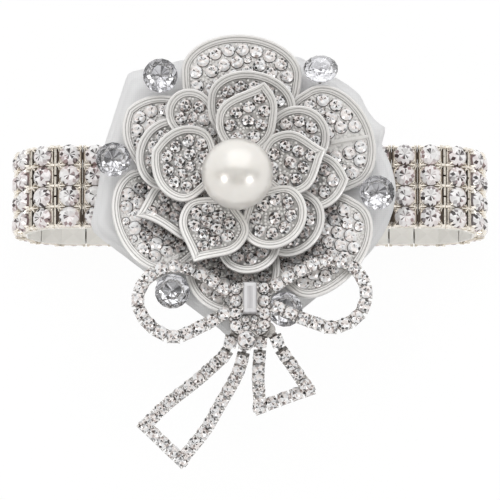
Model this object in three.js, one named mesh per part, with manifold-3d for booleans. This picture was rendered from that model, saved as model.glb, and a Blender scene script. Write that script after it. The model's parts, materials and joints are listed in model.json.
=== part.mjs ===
// Wrist corsage: a jewelled flower and a bow of cup chain on a four-row stretch bracelet.
// Millimetres, +Z up. It lies on the back of the bracelet with the flower face up, the
// wrist opening runs along Y, and the bow's tails point to -Y.
import * as THREE from 'three';
import { mergeVertices } from 'three/addons/utils/BufferGeometryUtils.js';
import Module from 'manifold-3d';

const wasm = await Module();
wasm.setup();

// Driving dimensions
const clearance = 0.3; // between pieces that rest on each other

// Bracelet: cross bars of square cups, strung on two flat elastics
const rows = 4;
const rowPitch = 3.6;
const barPitch = 4.4;
const barGap = 0.8;
const barsPerRun = 15; // along the front, and along the back
const barsPerEnd = 5; // round each end
const gluedBars = 7; // under the keeper plate
const cupHeight = 1.7;
const stoneGap = 0.4;
const stoneRise = 1.3;
const stoneTable = 1.9;
const stoneSeat = 0.2; // how deep a stone sits in its cup
const elasticWidth = 1.2;
const elasticThickness = 0.35;
const elasticPlay = 0.25;

// Keeper plate, ribbon and centre post
const keeperWidth = 13.4;
const keeperThickness = 0.8;
const keeperSink = 0.2; // the stones' tables bed into the plate
const keeperCorner = 3;
const ribbonThickness = 1.2;
// Ribbon outlines: a corner, or the point that a curved edge bends towards and its end
const leftRibbonEdge = [
  [-2.4, 21], [-11.4, 21.5], [-20.2, 19.4], [-20.9, 19.2, -21.1, 18.4], [-24.7, 7],
  [-25.6, 0, -26.9, -6.4], [-27.2, -8.3, -25.6, -9.3], [-6.8, -23.8], [-4.6, -25.4, -3.4, -27],
  [-2.4, -27],
];
const rightRibbonEdge = [
  [-1.8, -24], [7, -23.2], [13.5, -17.8, 19.7, -12.7], [24.8, -7, 24.8, -1], [24.4, 3.6, 22.3, 6.3],
  [23.2, 9.6], [20.4, 11, 18.9, 15.1], [17, 17.4, 10.2, 20.8], [8.6, 22.4, 7, 22], [-1.8, 21],
];
const postDiameter = 2.4;
const flangeDiameter = 6;
const flangeThickness = 1.2;

// Flower: petals are plates with a raised rim, cupped upwards
const flowerX = -2.1;
const flowerY = -1;
const petalThickness = 1.2;
const rimWidth = 1.6;
const rimRise = 0.3;
const petalTwist = 0.05; // rise per millimetre towards a petal's left edge, over its neighbour
const petalHeel = 2.6; // where a petal leaves the hub
const tipSteps = 5; // facets from a petal's widest point to its tip
const flankSteps = 2; // and back to its heel
const quarterRound = 0.55; // curve handles, as shares of the lengths that they divide
const heelHandle = 0.35;
const heelSpread = 0.3;
const tipDraw = 0.5;
const heartPlace = 0.85;
const hubDiameter = 8;
const tierPitch = 2.4;
const outerCup = 0.003; // rise per square millimetre of distance from the axis
const middleCup = 0.006;
const innerCup = 0.012;
const pearlDiameter = 12;
const pearlBore = 5;

// Each petal: the way it points in degrees, its reach from the axis, its greatest breadth
// and how far out that lies, how sharp its tip is, and how far the tip leans sideways
const outerPetals = [
  { aim: 88, reach: 25.9, breadth: 20.5, belly: 19.2 },
  { aim: 27, reach: 24.8, breadth: 18.6, belly: 18.4 },
  { aim: -35.5, reach: 24.8, breadth: 19, belly: 18.8, lean: 0.8 },
  { aim: -93, reach: 22.2, breadth: 16, belly: 14.5 },
  { aim: 203, reach: 22, breadth: 19, belly: 15.5 },
  { aim: 145, reach: 22.9, breadth: 14.2, belly: 14, point: 0.15 },
];
const middlePetals = [
  { aim: 80, reach: 19.2, breadth: 15, belly: 13.8 },
  { aim: 37, reach: 18.2, breadth: 11, belly: 12.4 },
  { aim: 1, reach: 18.7, breadth: 10, belly: 12.6, point: 0.3 },
  { aim: -37, reach: 16.7, breadth: 12, belly: 11.6 },
  { aim: -80, reach: 15.8, breadth: 10.4, belly: 11.2 },
  { aim: 206, reach: 18, breadth: 12, belly: 9.6, point: 1.2, lean: -2.2 },
  { aim: 157, reach: 18, breadth: 12.8, belly: 12.6 },
  { aim: 124, reach: 18.5, breadth: 8.4, belly: 14.2 },
];
const innerPetals = [
  { aim: 162, reach: 15.1, breadth: 13.3, belly: 8.6, point: 0.2 },
  { aim: 82, reach: 16.8, breadth: 10.2, belly: 10, point: 0.65, lean: -2.2 },
  { aim: 18, reach: 15.6, breadth: 11, belly: 8.8, point: 0.8 },
  { aim: -46, reach: 14.1, breadth: 11.9, belly: 8.4 },
  { aim: 243, reach: 16.1, breadth: 12, belly: 8.2, point: 0.9 },
];

// Round gems on pins, set into the ribbon between the petals
const gemDiameter = 5.9;
const gemTable = 3.3;
const gemCrown = 0.9;
const gemGirdle = 0.2;
const gemPavilion = 2;
const pinDiameter = 0.8;
const tallPin = 1.6;
const shortPin = 0.3; // for the gems under the bow
const gems = [
  { name: 'gem_pin_top_left', x: -15.2, y: 17.7, pin: tallPin },
  { name: 'gem_pin_top_right', x: 12, y: 17.3, pin: tallPin, tilt: -28 },
  { name: 'gem_pin_left', x: -23.1, y: 3.2, pin: tallPin },
  { name: 'gem_pin_right', x: 21.5, y: -2.5, pin: tallPin },
  { name: 'gem_pin_lower_left', x: -13.1, y: -19.2, pin: shortPin },
  { name: 'gem_pin_lower_right', x: 5.9, y: -22.3, pin: shortPin },
];

// Bow of cup chain
const chainPitch = 2.35;
const chainCup = 2.1;
const chainCupLength = 1.8;
const chainCupDepth = 1.2;
const chainStoneRise = 0.8;
const chainStoneTable = 1.2;
const chainNeckWidth = 0.8;
const chainNeckDepth = 0.5;
const knotWidth = 7;
const knotTop = -18;
const knotBottom = -27;
const knotThickness = 1;
const knotStoneDiameter = 1.9;
const knotStoneRise = 0.9;
const knotStonePitch = 2.1;
const knotRows = 4; // of stones down each side of the knot
const dropDiameter = 3.2; // the larger stone below the baguette
const dropX = -0.6;
const dropBelow = 0.8; // from the knot's lower edge to that stone's middle
const baguetteWidth = 2.4;
const baguetteLength = 5.4;
const baguetteHeight = 1.8;
const baguetteBevel = 0.4;
const clawWidth = 0.3; // four claws of the knot hold the baguette's long sides
const clawLength = 0.9;
const clawPlay = 0.15;
const tailDrop = 18; // how far a long tail sinks towards the table
const tailFall = 15; // the length over which it sinks
const tailFlat = 2.2; // the part under the knot, which doesn't sink
const tabDiameter = 2.8; // a flat tab joins a tail's strands at its pivot
const leftLoop = [
  [-4, -19.6], [-8.4, -16.6], [-13.2, -15.4], [-17.4, -17.6], [-18.8, -21.4],
  [-17, -25.1], [-12.9, -27.3], [-8.2, -25.6], [-4, -23.2],
];
const rightLoop = [
  [4.4, -18.6], [8.6, -16], [13.4, -14.4], [17.3, -15.6], [19.4, -19.2],
  [18.4, -23.4], [14.2, -25.7], [9.8, -24.6], [4.6, -22.4],
];
// A tail runs out to a corner, across its end to the next corner and back
const leftTailPivot = [-1.9, -26];
const leftTail = {
  out: [[-3, -26.3], [-3.6, -28.8], [-7.3, -32.1], [-14.5, -37.2], [-17.9, -40.3]],
  back: [[-11.7, -46.2], [-7.5, -41.2], [-5.3, -37.7], [-2, -32.3], [-0.9, -28.6], [-0.7, -26.7]],
};
const rightTailPivot = [2.9, -25.8];
const rightTail = {
  out: [[1.9, -26.4], [1.7, -28.6], [1.4, -33.2], [1.7, -37.8]],
  back: [[9.9, -34.8], [7.1, -31.2], [4.9, -28.4], [4, -26.2]],
};

// Worked out from the driving dimensions
const barLength = barPitch - barGap;
const bandHalfWidth = rows * rowPitch / 2;
const trackOffset = cupHeight / 2 + stoneRise; // from the elastic out to the stones' tables
const endTurn = Math.PI / (barsPerEnd + 1);
const elasticRow = (rows - 1) / 2 * rowPitch; // under the first and the last row

// The bars follow a closed polygon in the XZ plane: a straight back run, an end that turns
// by the same angle at every gap, a straight front run, and the other end.
function bandStations() {
  const stations = [];
  const corner = new THREE.Vector2(-barsPerRun * barPitch / 2, trackOffset);
  for (const side of ['back', 'front']) {
    const start = side === 'back' ? 0 : Math.PI;
    for (let i = 0; i < barsPerRun + barsPerEnd; i++) {
      const heading = start + Math.max(0, i - barsPerRun + 1) * endTurn;
      const along = new THREE.Vector2(Math.cos(heading), Math.sin(heading));
      const centre = corner.clone().addScaledVector(along, barPitch / 2);
      stations.push({ side, index: i, heading, corner: corner.clone(), centre });
      corner.addScaledVector(along, barPitch);
    }
  }
  return stations;
}

const stations = bandStations();
const frontFace = stations[barsPerRun + barsPerEnd].centre.y + trackOffset;
const keeperTop = frontFace - keeperSink + keeperThickness;
const ribbonBottom = keeperTop + clearance;
const ribbonTop = ribbonBottom + ribbonThickness;
const outerLevel = ribbonTop + clearance;
const middleLevel = outerLevel + tierPitch;
const innerLevel = middleLevel + tierPitch;
const pearlSeat = innerLevel + petalThickness + clearance;
const longestReach = Math.max(...outerPetals.map((petal) => petal.reach));
const bowLevel = outerLevel + outerCup * longestReach ** 2 + petalThickness + rimRise + clearance;

// Materials
const silver = new THREE.MeshStandardMaterial({ color: 0xc9c6c4, roughness: 0.25, metalness: 1 });
const stoneSilver = new THREE.MeshStandardMaterial({ color: 0xdcd8d8, roughness: 0.12, metalness: 0.9 });
const elasticBlack = new THREE.MeshStandardMaterial({ color: 0x2b2725, roughness: 0.8, metalness: 0 });
const ribbonWhite = new THREE.MeshStandardMaterial({ color: 0xf1f0f0, roughness: 0.6, metalness: 0 });
const pearlCream = new THREE.MeshStandardMaterial({ color: 0xf3ece0, roughness: 0.2, metalness: 0 });
const crystal = new THREE.MeshStandardMaterial({ color: 0xe6e6ea, roughness: 0.05, metalness: 0 });

const corsage = new THREE.Group();

function addPiece(name, geometry, material, parent = corsage) {
  const mesh = new THREE.Mesh(geometry, material);
  mesh.name = name;
  parent.add(mesh);
  return mesh;
}

// Boolean helpers
function toSolid(geometry) {
  const bare = geometry.index ? geometry.clone() : geometry;
  bare.deleteAttribute('normal');
  bare.deleteAttribute('uv');
  const merged = mergeVertices(bare, 1e-4);
  return new wasm.Manifold(new wasm.Mesh({
    numProp: 3,
    vertProperties: new Float32Array(merged.attributes.position.array),
    triVerts: new Uint32Array(merged.index.array),
  }));
}

function toGeometry(solid) {
  const mesh = solid.getMesh();
  const geometry = new THREE.BufferGeometry();
  geometry.setAttribute('position', new THREE.BufferAttribute(new Float32Array(mesh.vertProperties), 3));
  geometry.setIndex(new THREE.BufferAttribute(new Uint32Array(mesh.triVerts), 1));
  return geometry;
}

function uprightCylinder(diameter, bottom, top, sides, topDiameter = diameter) {
  const geometry = new THREE.CylinderGeometry(topDiameter / 2, diameter / 2, top - bottom, sides);
  return geometry.rotateX(Math.PI / 2).translate(0, 0, (bottom + top) / 2);
}

// Bracelet bar, centred on the elastic: X along the elastic, Y across the rows, +Z outwards
function makeBar() {
  const top = cupHeight / 2;
  let bar = toSolid(new THREE.BoxGeometry(barLength, 2 * bandHalfWidth, cupHeight));
  for (const y of [-elasticRow, elasticRow]) {
    const slot = new THREE.BoxGeometry(
      barLength + barGap, elasticWidth + 2 * elasticPlay, elasticThickness + 2 * elasticPlay);
    bar = bar.subtract(toSolid(slot.translate(0, y, 0)));
  }
  for (let row = 0; row < rows; row++) {
    const stone = uprightCylinder(rowPitch - stoneGap, top - stoneSeat, top + stoneRise, 6, stoneTable);
    stone.translate(0, (row + 0.5) * rowPitch - bandHalfWidth, 0);
    bar = bar.add(toSolid(stone));
  }
  return toGeometry(bar);
}

function placeAtStation(object, station) {
  object.position.set(station.centre.x, 0, station.centre.y);
  object.rotation.y = Math.PI - station.heading;
  object.updateMatrix();
  return object;
}

const barShape = makeBar();
const gluedFrom = (barsPerRun - gluedBars) / 2;
const gluedStations = [];
for (const station of stations) {
  const { side, index } = station;
  const fromMiddle = index - (barsPerRun - 1) / 2;
  const runSide = (side === 'back') === (fromMiddle > 0) ? 'right' : 'left';
  let name;
  if (index >= barsPerRun) {
    name = `bar_end_${side === 'back' ? 'right' : 'left'}_${index - barsPerRun + 1}`;
  } else if (side === 'back') {
    name = fromMiddle ? `bar_back_${runSide}_${Math.abs(fromMiddle)}` : 'bar_back_center';
  } else if (index < gluedFrom || index >= gluedFrom + gluedBars) {
    name = `bar_front_${runSide}_${Math.abs(fromMiddle) - (gluedBars - 1) / 2}`;
  }
  if (name) {
    placeAtStation(addPiece(name, barShape, stoneSilver), station);
  } else {
    gluedStations.push(station);
  }
}

// Elastics: flat bands through every bar, bending only in the gaps
function trackOutline(offset) {
  const points = [];
  stations.forEach((station, i) => {
    const before = stations[(i + stations.length - 1) % stations.length].heading;
    const turn = (station.heading - before + 2 * Math.PI) % (2 * Math.PI);
    if (turn > 0.01) {
      const middle = station.heading - turn / 2;
      const reach = offset / Math.cos(turn / 2);
      points.push(new THREE.Vector2(
        station.corner.x + reach * Math.sin(middle), station.corner.y - reach * Math.cos(middle)));
    }
  });
  return points;
}

function makeElastic() {
  const ring = new THREE.Shape(trackOutline(elasticThickness / 2));
  ring.holes.push(new THREE.Path(trackOutline(-elasticThickness / 2)));
  const band = new THREE.ExtrudeGeometry(ring, { depth: elasticWidth, bevelEnabled: false });
  return band.translate(0, 0, -elasticWidth / 2).rotateX(Math.PI / 2);
}

const elasticShape = makeElastic();
addPiece('elastic_upper', elasticShape, elasticBlack).position.y = elasticRow;
addPiece('elastic_lower', elasticShape, elasticBlack).position.y = -elasticRow;

// Keeper plate, with the front bars that are bedded into it
function roundedRectangle(width, height, corner) {
  const x = width / 2;
  const y = height / 2;
  const shape = new THREE.Shape();
  shape.absarc(x - corner, y - corner, corner, 0, Math.PI / 2);
  shape.absarc(corner - x, y - corner, corner, Math.PI / 2, Math.PI);
  shape.absarc(corner - x, corner - y, corner, Math.PI, 1.5 * Math.PI);
  shape.absarc(x - corner, corner - y, corner, 1.5 * Math.PI, 2 * Math.PI);
  return shape;
}

const keeperLength = gluedBars * barPitch - barGap;
const keeperPlate = new THREE.ExtrudeGeometry(
  roundedRectangle(keeperLength, keeperWidth, keeperCorner),
  { depth: keeperThickness, bevelEnabled: false, curveSegments: 3 });
let keeper = toSolid(keeperPlate.translate(0, 0, frontFace - keeperSink));
for (const station of gluedStations) {
  const place = placeAtStation(new THREE.Object3D(), station);
  keeper = keeper.add(toSolid(barShape.clone().applyMatrix4(place.matrix)));
}
addPiece('keeper_plate', toGeometry(keeper), stoneSilver);

// Ribbon: two folded pieces that meet at the flower's axis, cut out round the post's flange
function makeRibbon(edge) {
  const outline = new THREE.Shape();
  outline.moveTo(...edge[0]);
  for (const stretch of edge.slice(1)) {
    if (stretch.length > 2) {
      outline.quadraticCurveTo(...stretch);
    } else {
      outline.lineTo(...stretch);
    }
  }
  const piece = new THREE.ExtrudeGeometry(outline, {
    depth: ribbonThickness, bevelEnabled: false, curveSegments: 5,
  });
  const cutout = uprightCylinder(
    flangeDiameter + 2 * clearance, ribbonBottom - clearance, ribbonTop + clearance, 12);
  cutout.translate(flowerX, flowerY, 0);
  return toGeometry(toSolid(piece.translate(0, 0, ribbonBottom)).subtract(toSolid(cutout)));
}

addPiece('ribbon_left', makeRibbon(leftRibbonEdge), ribbonWhite);
addPiece('ribbon_right', makeRibbon(rightRibbonEdge), ribbonWhite);

// Flower, on its own axis
const flower = new THREE.Group();
flower.position.set(flowerX, flowerY, 0);
corsage.add(flower);

function bezierPoints(steps, ...handles) {
  const curve = new THREE.CubicBezierCurve(...handles.map(([x, y]) => new THREE.Vector2(x, y)));
  return curve.getPoints(steps).slice(0, -1);
}

// Outline of a petal that points along +X, from its heel round its right side to its tip and
// back along its left; the heart is the point that the rim's inner edge is drawn towards
function petalOutline({ reach, breadth, belly, point = 0, lean = 0 }) {
  const half = breadth / 2;
  const flank = belly - petalHeel;
  const heel = [petalHeel, 0];
  const tip = [reach, lean];
  const toBelly = (side) => [
    [petalHeel + heelHandle * flank, side * heelSpread * half],
    [belly - quarterRound * flank, side * half],
    [belly, side * half],
  ];
  const toTip = (side) => [
    [belly + quarterRound * (reach - belly), side * half],
    [reach - tipDraw * point * (reach - belly), lean + side * quarterRound * half],
  ];
  const [rightHeel, rightFlank, rightBelly] = toBelly(-1);
  const [leftHeel, leftFlank, leftBelly] = toBelly(1);
  const [rightShoulder, rightTip] = toTip(-1);
  const [leftShoulder, leftTip] = toTip(1);
  const outline = [
    ...bezierPoints(flankSteps, heel, rightHeel, rightFlank, rightBelly),
    ...bezierPoints(tipSteps, rightBelly, rightShoulder, rightTip, tip),
    ...bezierPoints(tipSteps, tip, leftTip, leftShoulder, leftBelly),
    ...bezierPoints(flankSteps, leftBelly, leftFlank, leftHeel, heel),
  ];
  return { outline, heart: new THREE.Vector2(heartPlace * belly, heartPlace * lean / 3) };
}

function makePetal(petal, level, cup) {
  const { outline, heart } = petalOutline(petal);
  const count = outline.length;
  const inset = outline.map((p) => p.clone().addScaledVector(heart.clone().sub(p).normalize(), rimWidth));
  const under = (p) => level + cup * p.lengthSq() + petalTwist * p.y;
  const ring = (points, rise) => points.flatMap((p) => [p.x, p.y, under(p) + rise]);
  const positions = [
    ...ring(outline, 0),
    ...ring(outline, petalThickness + rimRise),
    ...ring(inset, petalThickness + rimRise),
    ...ring(inset, petalThickness),
    ...ring([heart], 0),
    ...ring([heart], petalThickness),
  ];
  const triangles = [];
  for (let i = 0; i < count; i++) {
    const j = (i + 1) % count;
    for (let band = 0; band < 3; band++) {
      const low = band * count;
      const high = low + count;
      triangles.push(low + i, low + j, high + j, low + i, high + j, high + i);
    }
    triangles.push(j, i, 4 * count);
    triangles.push(3 * count + i, 3 * count + j, 4 * count + 1);
  }
  const geometry = new THREE.BufferGeometry();
  geometry.setAttribute('position', new THREE.Float32BufferAttribute(positions, 3));
  geometry.setIndex(triangles);
  return geometry.rotateZ(THREE.MathUtils.degToRad(petal.aim));
}

function makeTier(petals, level, cup, hubTop) {
  let tier = toSolid(uprightCylinder(hubDiameter, level, hubTop, 16));
  for (const petal of petals) {
    tier = tier.add(toSolid(makePetal(petal, level, cup)));
  }
  const bore = uprightCylinder(postDiameter + 2 * clearance, level - 1, hubTop + 1, 10);
  return toGeometry(tier.subtract(toSolid(bore)));
}

addPiece('petals_outer', makeTier(outerPetals, outerLevel, outerCup, middleLevel - clearance), silver, flower);
addPiece('petals_middle', makeTier(middlePetals, middleLevel, middleCup, innerLevel - clearance), silver, flower);
addPiece('petals_inner', makeTier(innerPetals, innerLevel, innerCup, pearlSeat - clearance), silver, flower);

// Centre post: a flange on the keeper plate and a peg up into the pearl
const postTop = pearlSeat + pearlBore - clearance;
const postBase = keeperTop + clearance;
const postProfile = [
  [0, postBase], [flangeDiameter / 2, postBase], [flangeDiameter / 2, postBase + flangeThickness],
  [postDiameter / 2, postBase + flangeThickness], [postDiameter / 2, postTop], [0, postTop],
];
const lathe = (profile, sides) => new THREE.LatheGeometry(
  profile.map(([r, z]) => new THREE.Vector2(r, z)), sides).rotateX(Math.PI / 2);
addPiece('centre_post', lathe(postProfile, 10), silver, flower);

// Pearl, half drilled for the peg
const pearlRadius = pearlDiameter / 2;
const boreRadius = postDiameter / 2 + clearance;
const pearlSteps = 8;
const boreAngle = Math.asin(boreRadius / pearlRadius);
const pearlProfile = [[0, pearlSeat + pearlBore], [boreRadius, pearlSeat + pearlBore]];
for (let i = 0; i <= pearlSteps; i++) {
  const angle = boreAngle + (Math.PI - boreAngle) * i / pearlSteps;
  const radius = i < pearlSteps ? pearlRadius * Math.sin(angle) : 0;
  pearlProfile.push([radius, pearlSeat + pearlRadius * (1 - Math.cos(angle))]);
}
addPiece('pearl', lathe(pearlProfile, 16), pearlCream, flower);

// Gems on their pins, standing on the ribbon
function makeGemPin(pin) {
  const girdle = pin + gemPavilion;
  return lathe([
    [0, 0], [pinDiameter / 2, 0], [pinDiameter / 2, pin], [gemDiameter / 2, girdle],
    [gemDiameter / 2, girdle + gemGirdle], [gemTable / 2, girdle + gemGirdle + gemCrown],
    [0, girdle + gemGirdle + gemCrown],
  ], 8);
}

for (const { name, x, y, pin, tilt = 0 } of gems) {
  const gem = addPiece(name, makeGemPin(pin), crystal);
  gem.position.set(x, y, ribbonTop + clearance);
  gem.rotation.x = THREE.MathUtils.degToRad(tilt);
}

// Cup chain: square cups with a stone each, joined by narrow necks, in one sweep
function chainLinks(strand, heightAt) {
  const flat = strand.map(([x, y]) => new THREE.Vector3(x, y, heightAt(x, y)));
  const curve = new THREE.CatmullRomCurve3(flat, false, 'centripetal');
  const count = Math.round(curve.getLength() / chainPitch);
  const links = [];
  for (let i = 0; i < count; i++) {
    const at = curve.getPointAt((i + 0.5) / count);
    at.z = heightAt(at.x, at.y);
    const ahead = curve.getTangentAt((i + 0.5) / count);
    const side = new THREE.Vector3().crossVectors(new THREE.Vector3(0, 0, 1), ahead).normalize();
    const up = new THREE.Vector3().crossVectors(ahead, side);
    links.push({ at, ahead, side, up, halfStep: curve.getLength() / count / 2 });
  }
  return links;
}

function makeStrand(strand, heightAt) {
  const links = chainLinks(strand, heightAt);
  const positions = [];
  const triangles = [];
  const neckLow = (chainCupDepth - chainNeckDepth) / 2;
  const corner = (link, along, across, height) => {
    const p = link.at.clone().addScaledVector(link.ahead, along);
    p.addScaledVector(link.side, across).addScaledVector(link.up, height);
    positions.push(p.x, p.y, p.z);
    return positions.length / 3 - 1;
  };
  const section = (link, along, width, low, high) => [
    corner(link, along, -width / 2, low), corner(link, along, width / 2, low),
    corner(link, along, width / 2, high), corner(link, along, -width / 2, high),
  ];
  const quad = (a, b, c, d) => triangles.push(a, b, c, a, c, d);
  const join = (from, to, openTop = false) => {
    for (let k = 0; k < 4; k++) {
      if (!(openTop && k === 2)) {
        const n = (k + 1) % 4;
        quad(from[k], from[n], to[n], to[k]);
      }
    }
  };
  const half = chainCupLength / 2;
  const waist = (link, along) => section(link, along, chainNeckWidth, neckLow, neckLow + chainNeckDepth);
  let last = waist(links[0], -links[0].halfStep);
  quad(last[3], last[2], last[1], last[0]);
  for (const link of links) {
    const cupIn = section(link, -half, chainCup, 0, chainCupDepth);
    const cupOut = section(link, half, chainCup, 0, chainCupDepth);
    const neckOut = waist(link, link.halfStep);
    join(last, cupIn);
    join(cupIn, cupOut, true);
    join(cupOut, neckOut);
    const inner = chainStoneTable / 2;
    const top = chainCupDepth + chainStoneRise;
    const rim = [cupIn[3], cupIn[2], cupOut[2], cupOut[3]];
    const table = [
      corner(link, -inner, -inner, top), corner(link, -inner, inner, top),
      corner(link, inner, inner, top), corner(link, inner, -inner, top),
    ];
    for (let k = 0; k < 4; k++) {
      const n = (k + 1) % 4;
      quad(rim[n], rim[k], table[k], table[n]);
    }
    quad(table[3], table[2], table[1], table[0]);
    last = neckOut;
  }
  quad(last[0], last[1], last[2], last[3]);
  const geometry = new THREE.BufferGeometry();
  geometry.setAttribute('position', new THREE.Float32BufferAttribute(positions, 3));
  geometry.setIndex(triangles);
  return geometry;
}

function makeChain(strands, heightAt, tabs = []) {
  const solids = strands.map((strand) => toSolid(makeStrand(strand, heightAt)));
  for (const [x, y] of tabs) {
    const low = heightAt(x, y) + (chainCupDepth - chainNeckDepth) / 2;
    const tab = uprightCylinder(tabDiameter, low, low + chainNeckDepth, 12);
    solids.push(toSolid(tab.translate(x, y, 0)));
  }
  return toGeometry(solids.reduce((chain, strand) => chain.add(strand)));
}

// The cross strand takes the stones at a tail's corners, and the others run up to its side
function tailStrands({ out, back }) {
  const stepTowards = (from, to, length) => {
    const [x, y] = [to[0] - from[0], to[1] - from[1]];
    const share = length / Math.hypot(x, y);
    return [from[0] + share * x, from[1] + share * y];
  };
  const [first, second] = [out.at(-1), back[0]];
  const side = chainCup / 2 - clearance;
  return [
    [...out.slice(0, -1), stepTowards(first, out.at(-2), side)],
    [stepTowards(first, second, -chainPitch / 2), stepTowards(second, first, -chainPitch / 2)],
    [stepTowards(second, back[1], side), ...back.slice(1)],
  ];
}

const loopHeight = () => bowLevel;
const tailLevel = bowLevel - clearance - chainCupDepth - chainStoneRise;
const tailHeight = ([x0, y0]) => (x, y) => {
  const beyond = Math.max(0, Math.hypot(x - x0, y - y0) - tailFlat);
  return tailLevel - tailDrop * (1 - Math.exp(-beyond / tailFall));
};
addPiece('bow_loop_left', makeChain([leftLoop], loopHeight), stoneSilver);
addPiece('bow_loop_right', makeChain([rightLoop], loopHeight), stoneSilver);
const makeTail = (tail, pivot) => makeChain(tailStrands(tail), tailHeight(pivot), [pivot]);
addPiece('bow_tail_left', makeTail(leftTail, leftTailPivot), stoneSilver);
addPiece('bow_tail_right', makeTail(rightTail, rightTailPivot), stoneSilver);

// Knot: a plate with a cluster of stones each side of the baguette and a larger one below it
const knotX = 0;
const knotY = (knotTop + knotBottom) / 2;
const dropY = knotBottom - dropBelow;
const baguetteY = knotTop - stoneSeat - baguetteLength / 2;
function makeKnot() {
  const length = knotTop - knotBottom;
  const plate = new THREE.ExtrudeGeometry(
    roundedRectangle(knotWidth, length, knotWidth / 3),
    { depth: knotThickness, bevelEnabled: false, curveSegments: 3 });
  const drop = uprightCylinder(dropDiameter, 0, knotThickness, 10);
  let knot = toSolid(plate).add(toSolid(drop.translate(dropX - knotX, dropY - knotY, 0)));
  const addStone = (x, y, diameter) => {
    const stone = uprightCylinder(
      diameter, knotThickness - stoneSeat, knotThickness + knotStoneRise, 6,
      diameter * chainStoneTable / chainCup);
    knot = knot.add(toSolid(stone.translate(x, y, 0)));
  };
  const clusterX = knotWidth / 2 - knotStoneDiameter / 2 - stoneSeat;
  for (const side of [-1, 1]) {
    for (let row = 0; row < knotRows; row++) {
      addStone(side * clusterX, length / 4 - (row - 0.5) * knotStonePitch, knotStoneDiameter);
    }
  }
  addStone(dropX - knotX, dropY - knotY, dropDiameter - stoneGap);
  const clawTop = knotThickness + clearance + baguetteHeight - baguetteBevel;
  for (const x of [-1, 1]) {
    for (const y of [-1, 1]) {
      const claw = new THREE.BoxGeometry(clawWidth, clawLength, clawTop).translate(
        x * (baguetteWidth / 2 + clawPlay + clawWidth / 2),
        baguetteY - knotY + y * (baguetteLength / 2 - baguetteBevel - clawLength / 2),
        clawTop / 2);
      knot = knot.add(toSolid(claw));
    }
  }
  return toGeometry(knot);
}

addPiece('bow_knot', makeKnot(), stoneSilver).position.set(knotX, knotY, bowLevel);

const baguetteHalfWidth = baguetteWidth / 2 - baguetteBevel;
const baguetteHalfLength = baguetteLength / 2 - baguetteBevel;
const baguetteOutline = new THREE.Shape();
baguetteOutline.moveTo(-baguetteHalfWidth, -baguetteHalfLength);
baguetteOutline.lineTo(baguetteHalfWidth, -baguetteHalfLength);
baguetteOutline.lineTo(baguetteHalfWidth, baguetteHalfLength);
baguetteOutline.lineTo(-baguetteHalfWidth, baguetteHalfLength);
const baguetteShape = new THREE.ExtrudeGeometry(baguetteOutline, {
  depth: baguetteHeight - 2 * baguetteBevel,
  bevelThickness: baguetteBevel,
  bevelSize: baguetteBevel,
  bevelSegments: 1,
});
addPiece('baguette_crystal', baguetteShape, crystal).position.set(
  knotX, baguetteY, bowLevel + knotThickness + clearance + baguetteBevel);

// Set the origin at the middle of the bounding box, on the table
corsage.updateMatrixWorld(true);
const box = new THREE.Box3().setFromObject(corsage, true);
corsage.position.set(-(box.min.x + box.max.x) / 2, -(box.min.y + box.max.y) / 2, -box.min.z);

export default corsage;
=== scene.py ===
# Wrist corsage, lying on the back of its bracelet with the flower face up.
import json
import math
import random

import bmesh
import bpy
from mathutils import Matrix, Vector


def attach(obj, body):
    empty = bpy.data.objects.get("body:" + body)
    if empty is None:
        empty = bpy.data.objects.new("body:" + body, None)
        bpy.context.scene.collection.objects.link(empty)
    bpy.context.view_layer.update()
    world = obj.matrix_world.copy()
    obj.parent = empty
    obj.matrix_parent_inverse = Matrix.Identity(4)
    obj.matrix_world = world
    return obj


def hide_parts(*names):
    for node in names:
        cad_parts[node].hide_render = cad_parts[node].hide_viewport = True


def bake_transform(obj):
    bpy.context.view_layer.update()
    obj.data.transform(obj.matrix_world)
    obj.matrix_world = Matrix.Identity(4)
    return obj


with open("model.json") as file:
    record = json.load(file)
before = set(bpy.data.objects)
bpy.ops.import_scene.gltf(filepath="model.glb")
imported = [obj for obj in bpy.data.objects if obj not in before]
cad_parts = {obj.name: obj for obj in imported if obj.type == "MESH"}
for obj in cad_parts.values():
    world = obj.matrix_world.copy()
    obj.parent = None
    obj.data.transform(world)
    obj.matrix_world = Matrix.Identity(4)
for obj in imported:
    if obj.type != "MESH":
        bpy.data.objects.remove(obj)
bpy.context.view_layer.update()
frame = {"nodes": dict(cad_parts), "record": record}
scene = bpy.context.scene
scene.view_settings.view_transform = "Standard"

# The view: down on the flower, leaning ten degrees towards the bow, through a long lens
# that takes in 85 mm at the level of the bracelet's front.
MM = 0.001
VIEW_WIDTH = 85
VIEW_LEAN = math.radians(10)
VIEW_AIM = Vector((0, 0.21, 20))


def show(name, data, place=Matrix()):
    """Puts a mesh, a lamp or the camera into the scene."""
    piece = bpy.data.objects.new(name, data)
    scene.collection.objects.link(piece)
    piece.matrix_world = place
    return piece


lens = bpy.data.cameras.new("camera")
lens.lens = 300
camera = show("camera", lens)
view_distance = VIEW_WIDTH * lens.lens / lens.sensor_width
view_offset = Vector((0, -math.sin(VIEW_LEAN), math.cos(VIEW_LEAN)))
camera.location = (VIEW_AIM + view_distance * view_offset) * MM
camera.rotation_euler = (VIEW_LEAN, 0, 0)
scene.camera = camera


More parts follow.
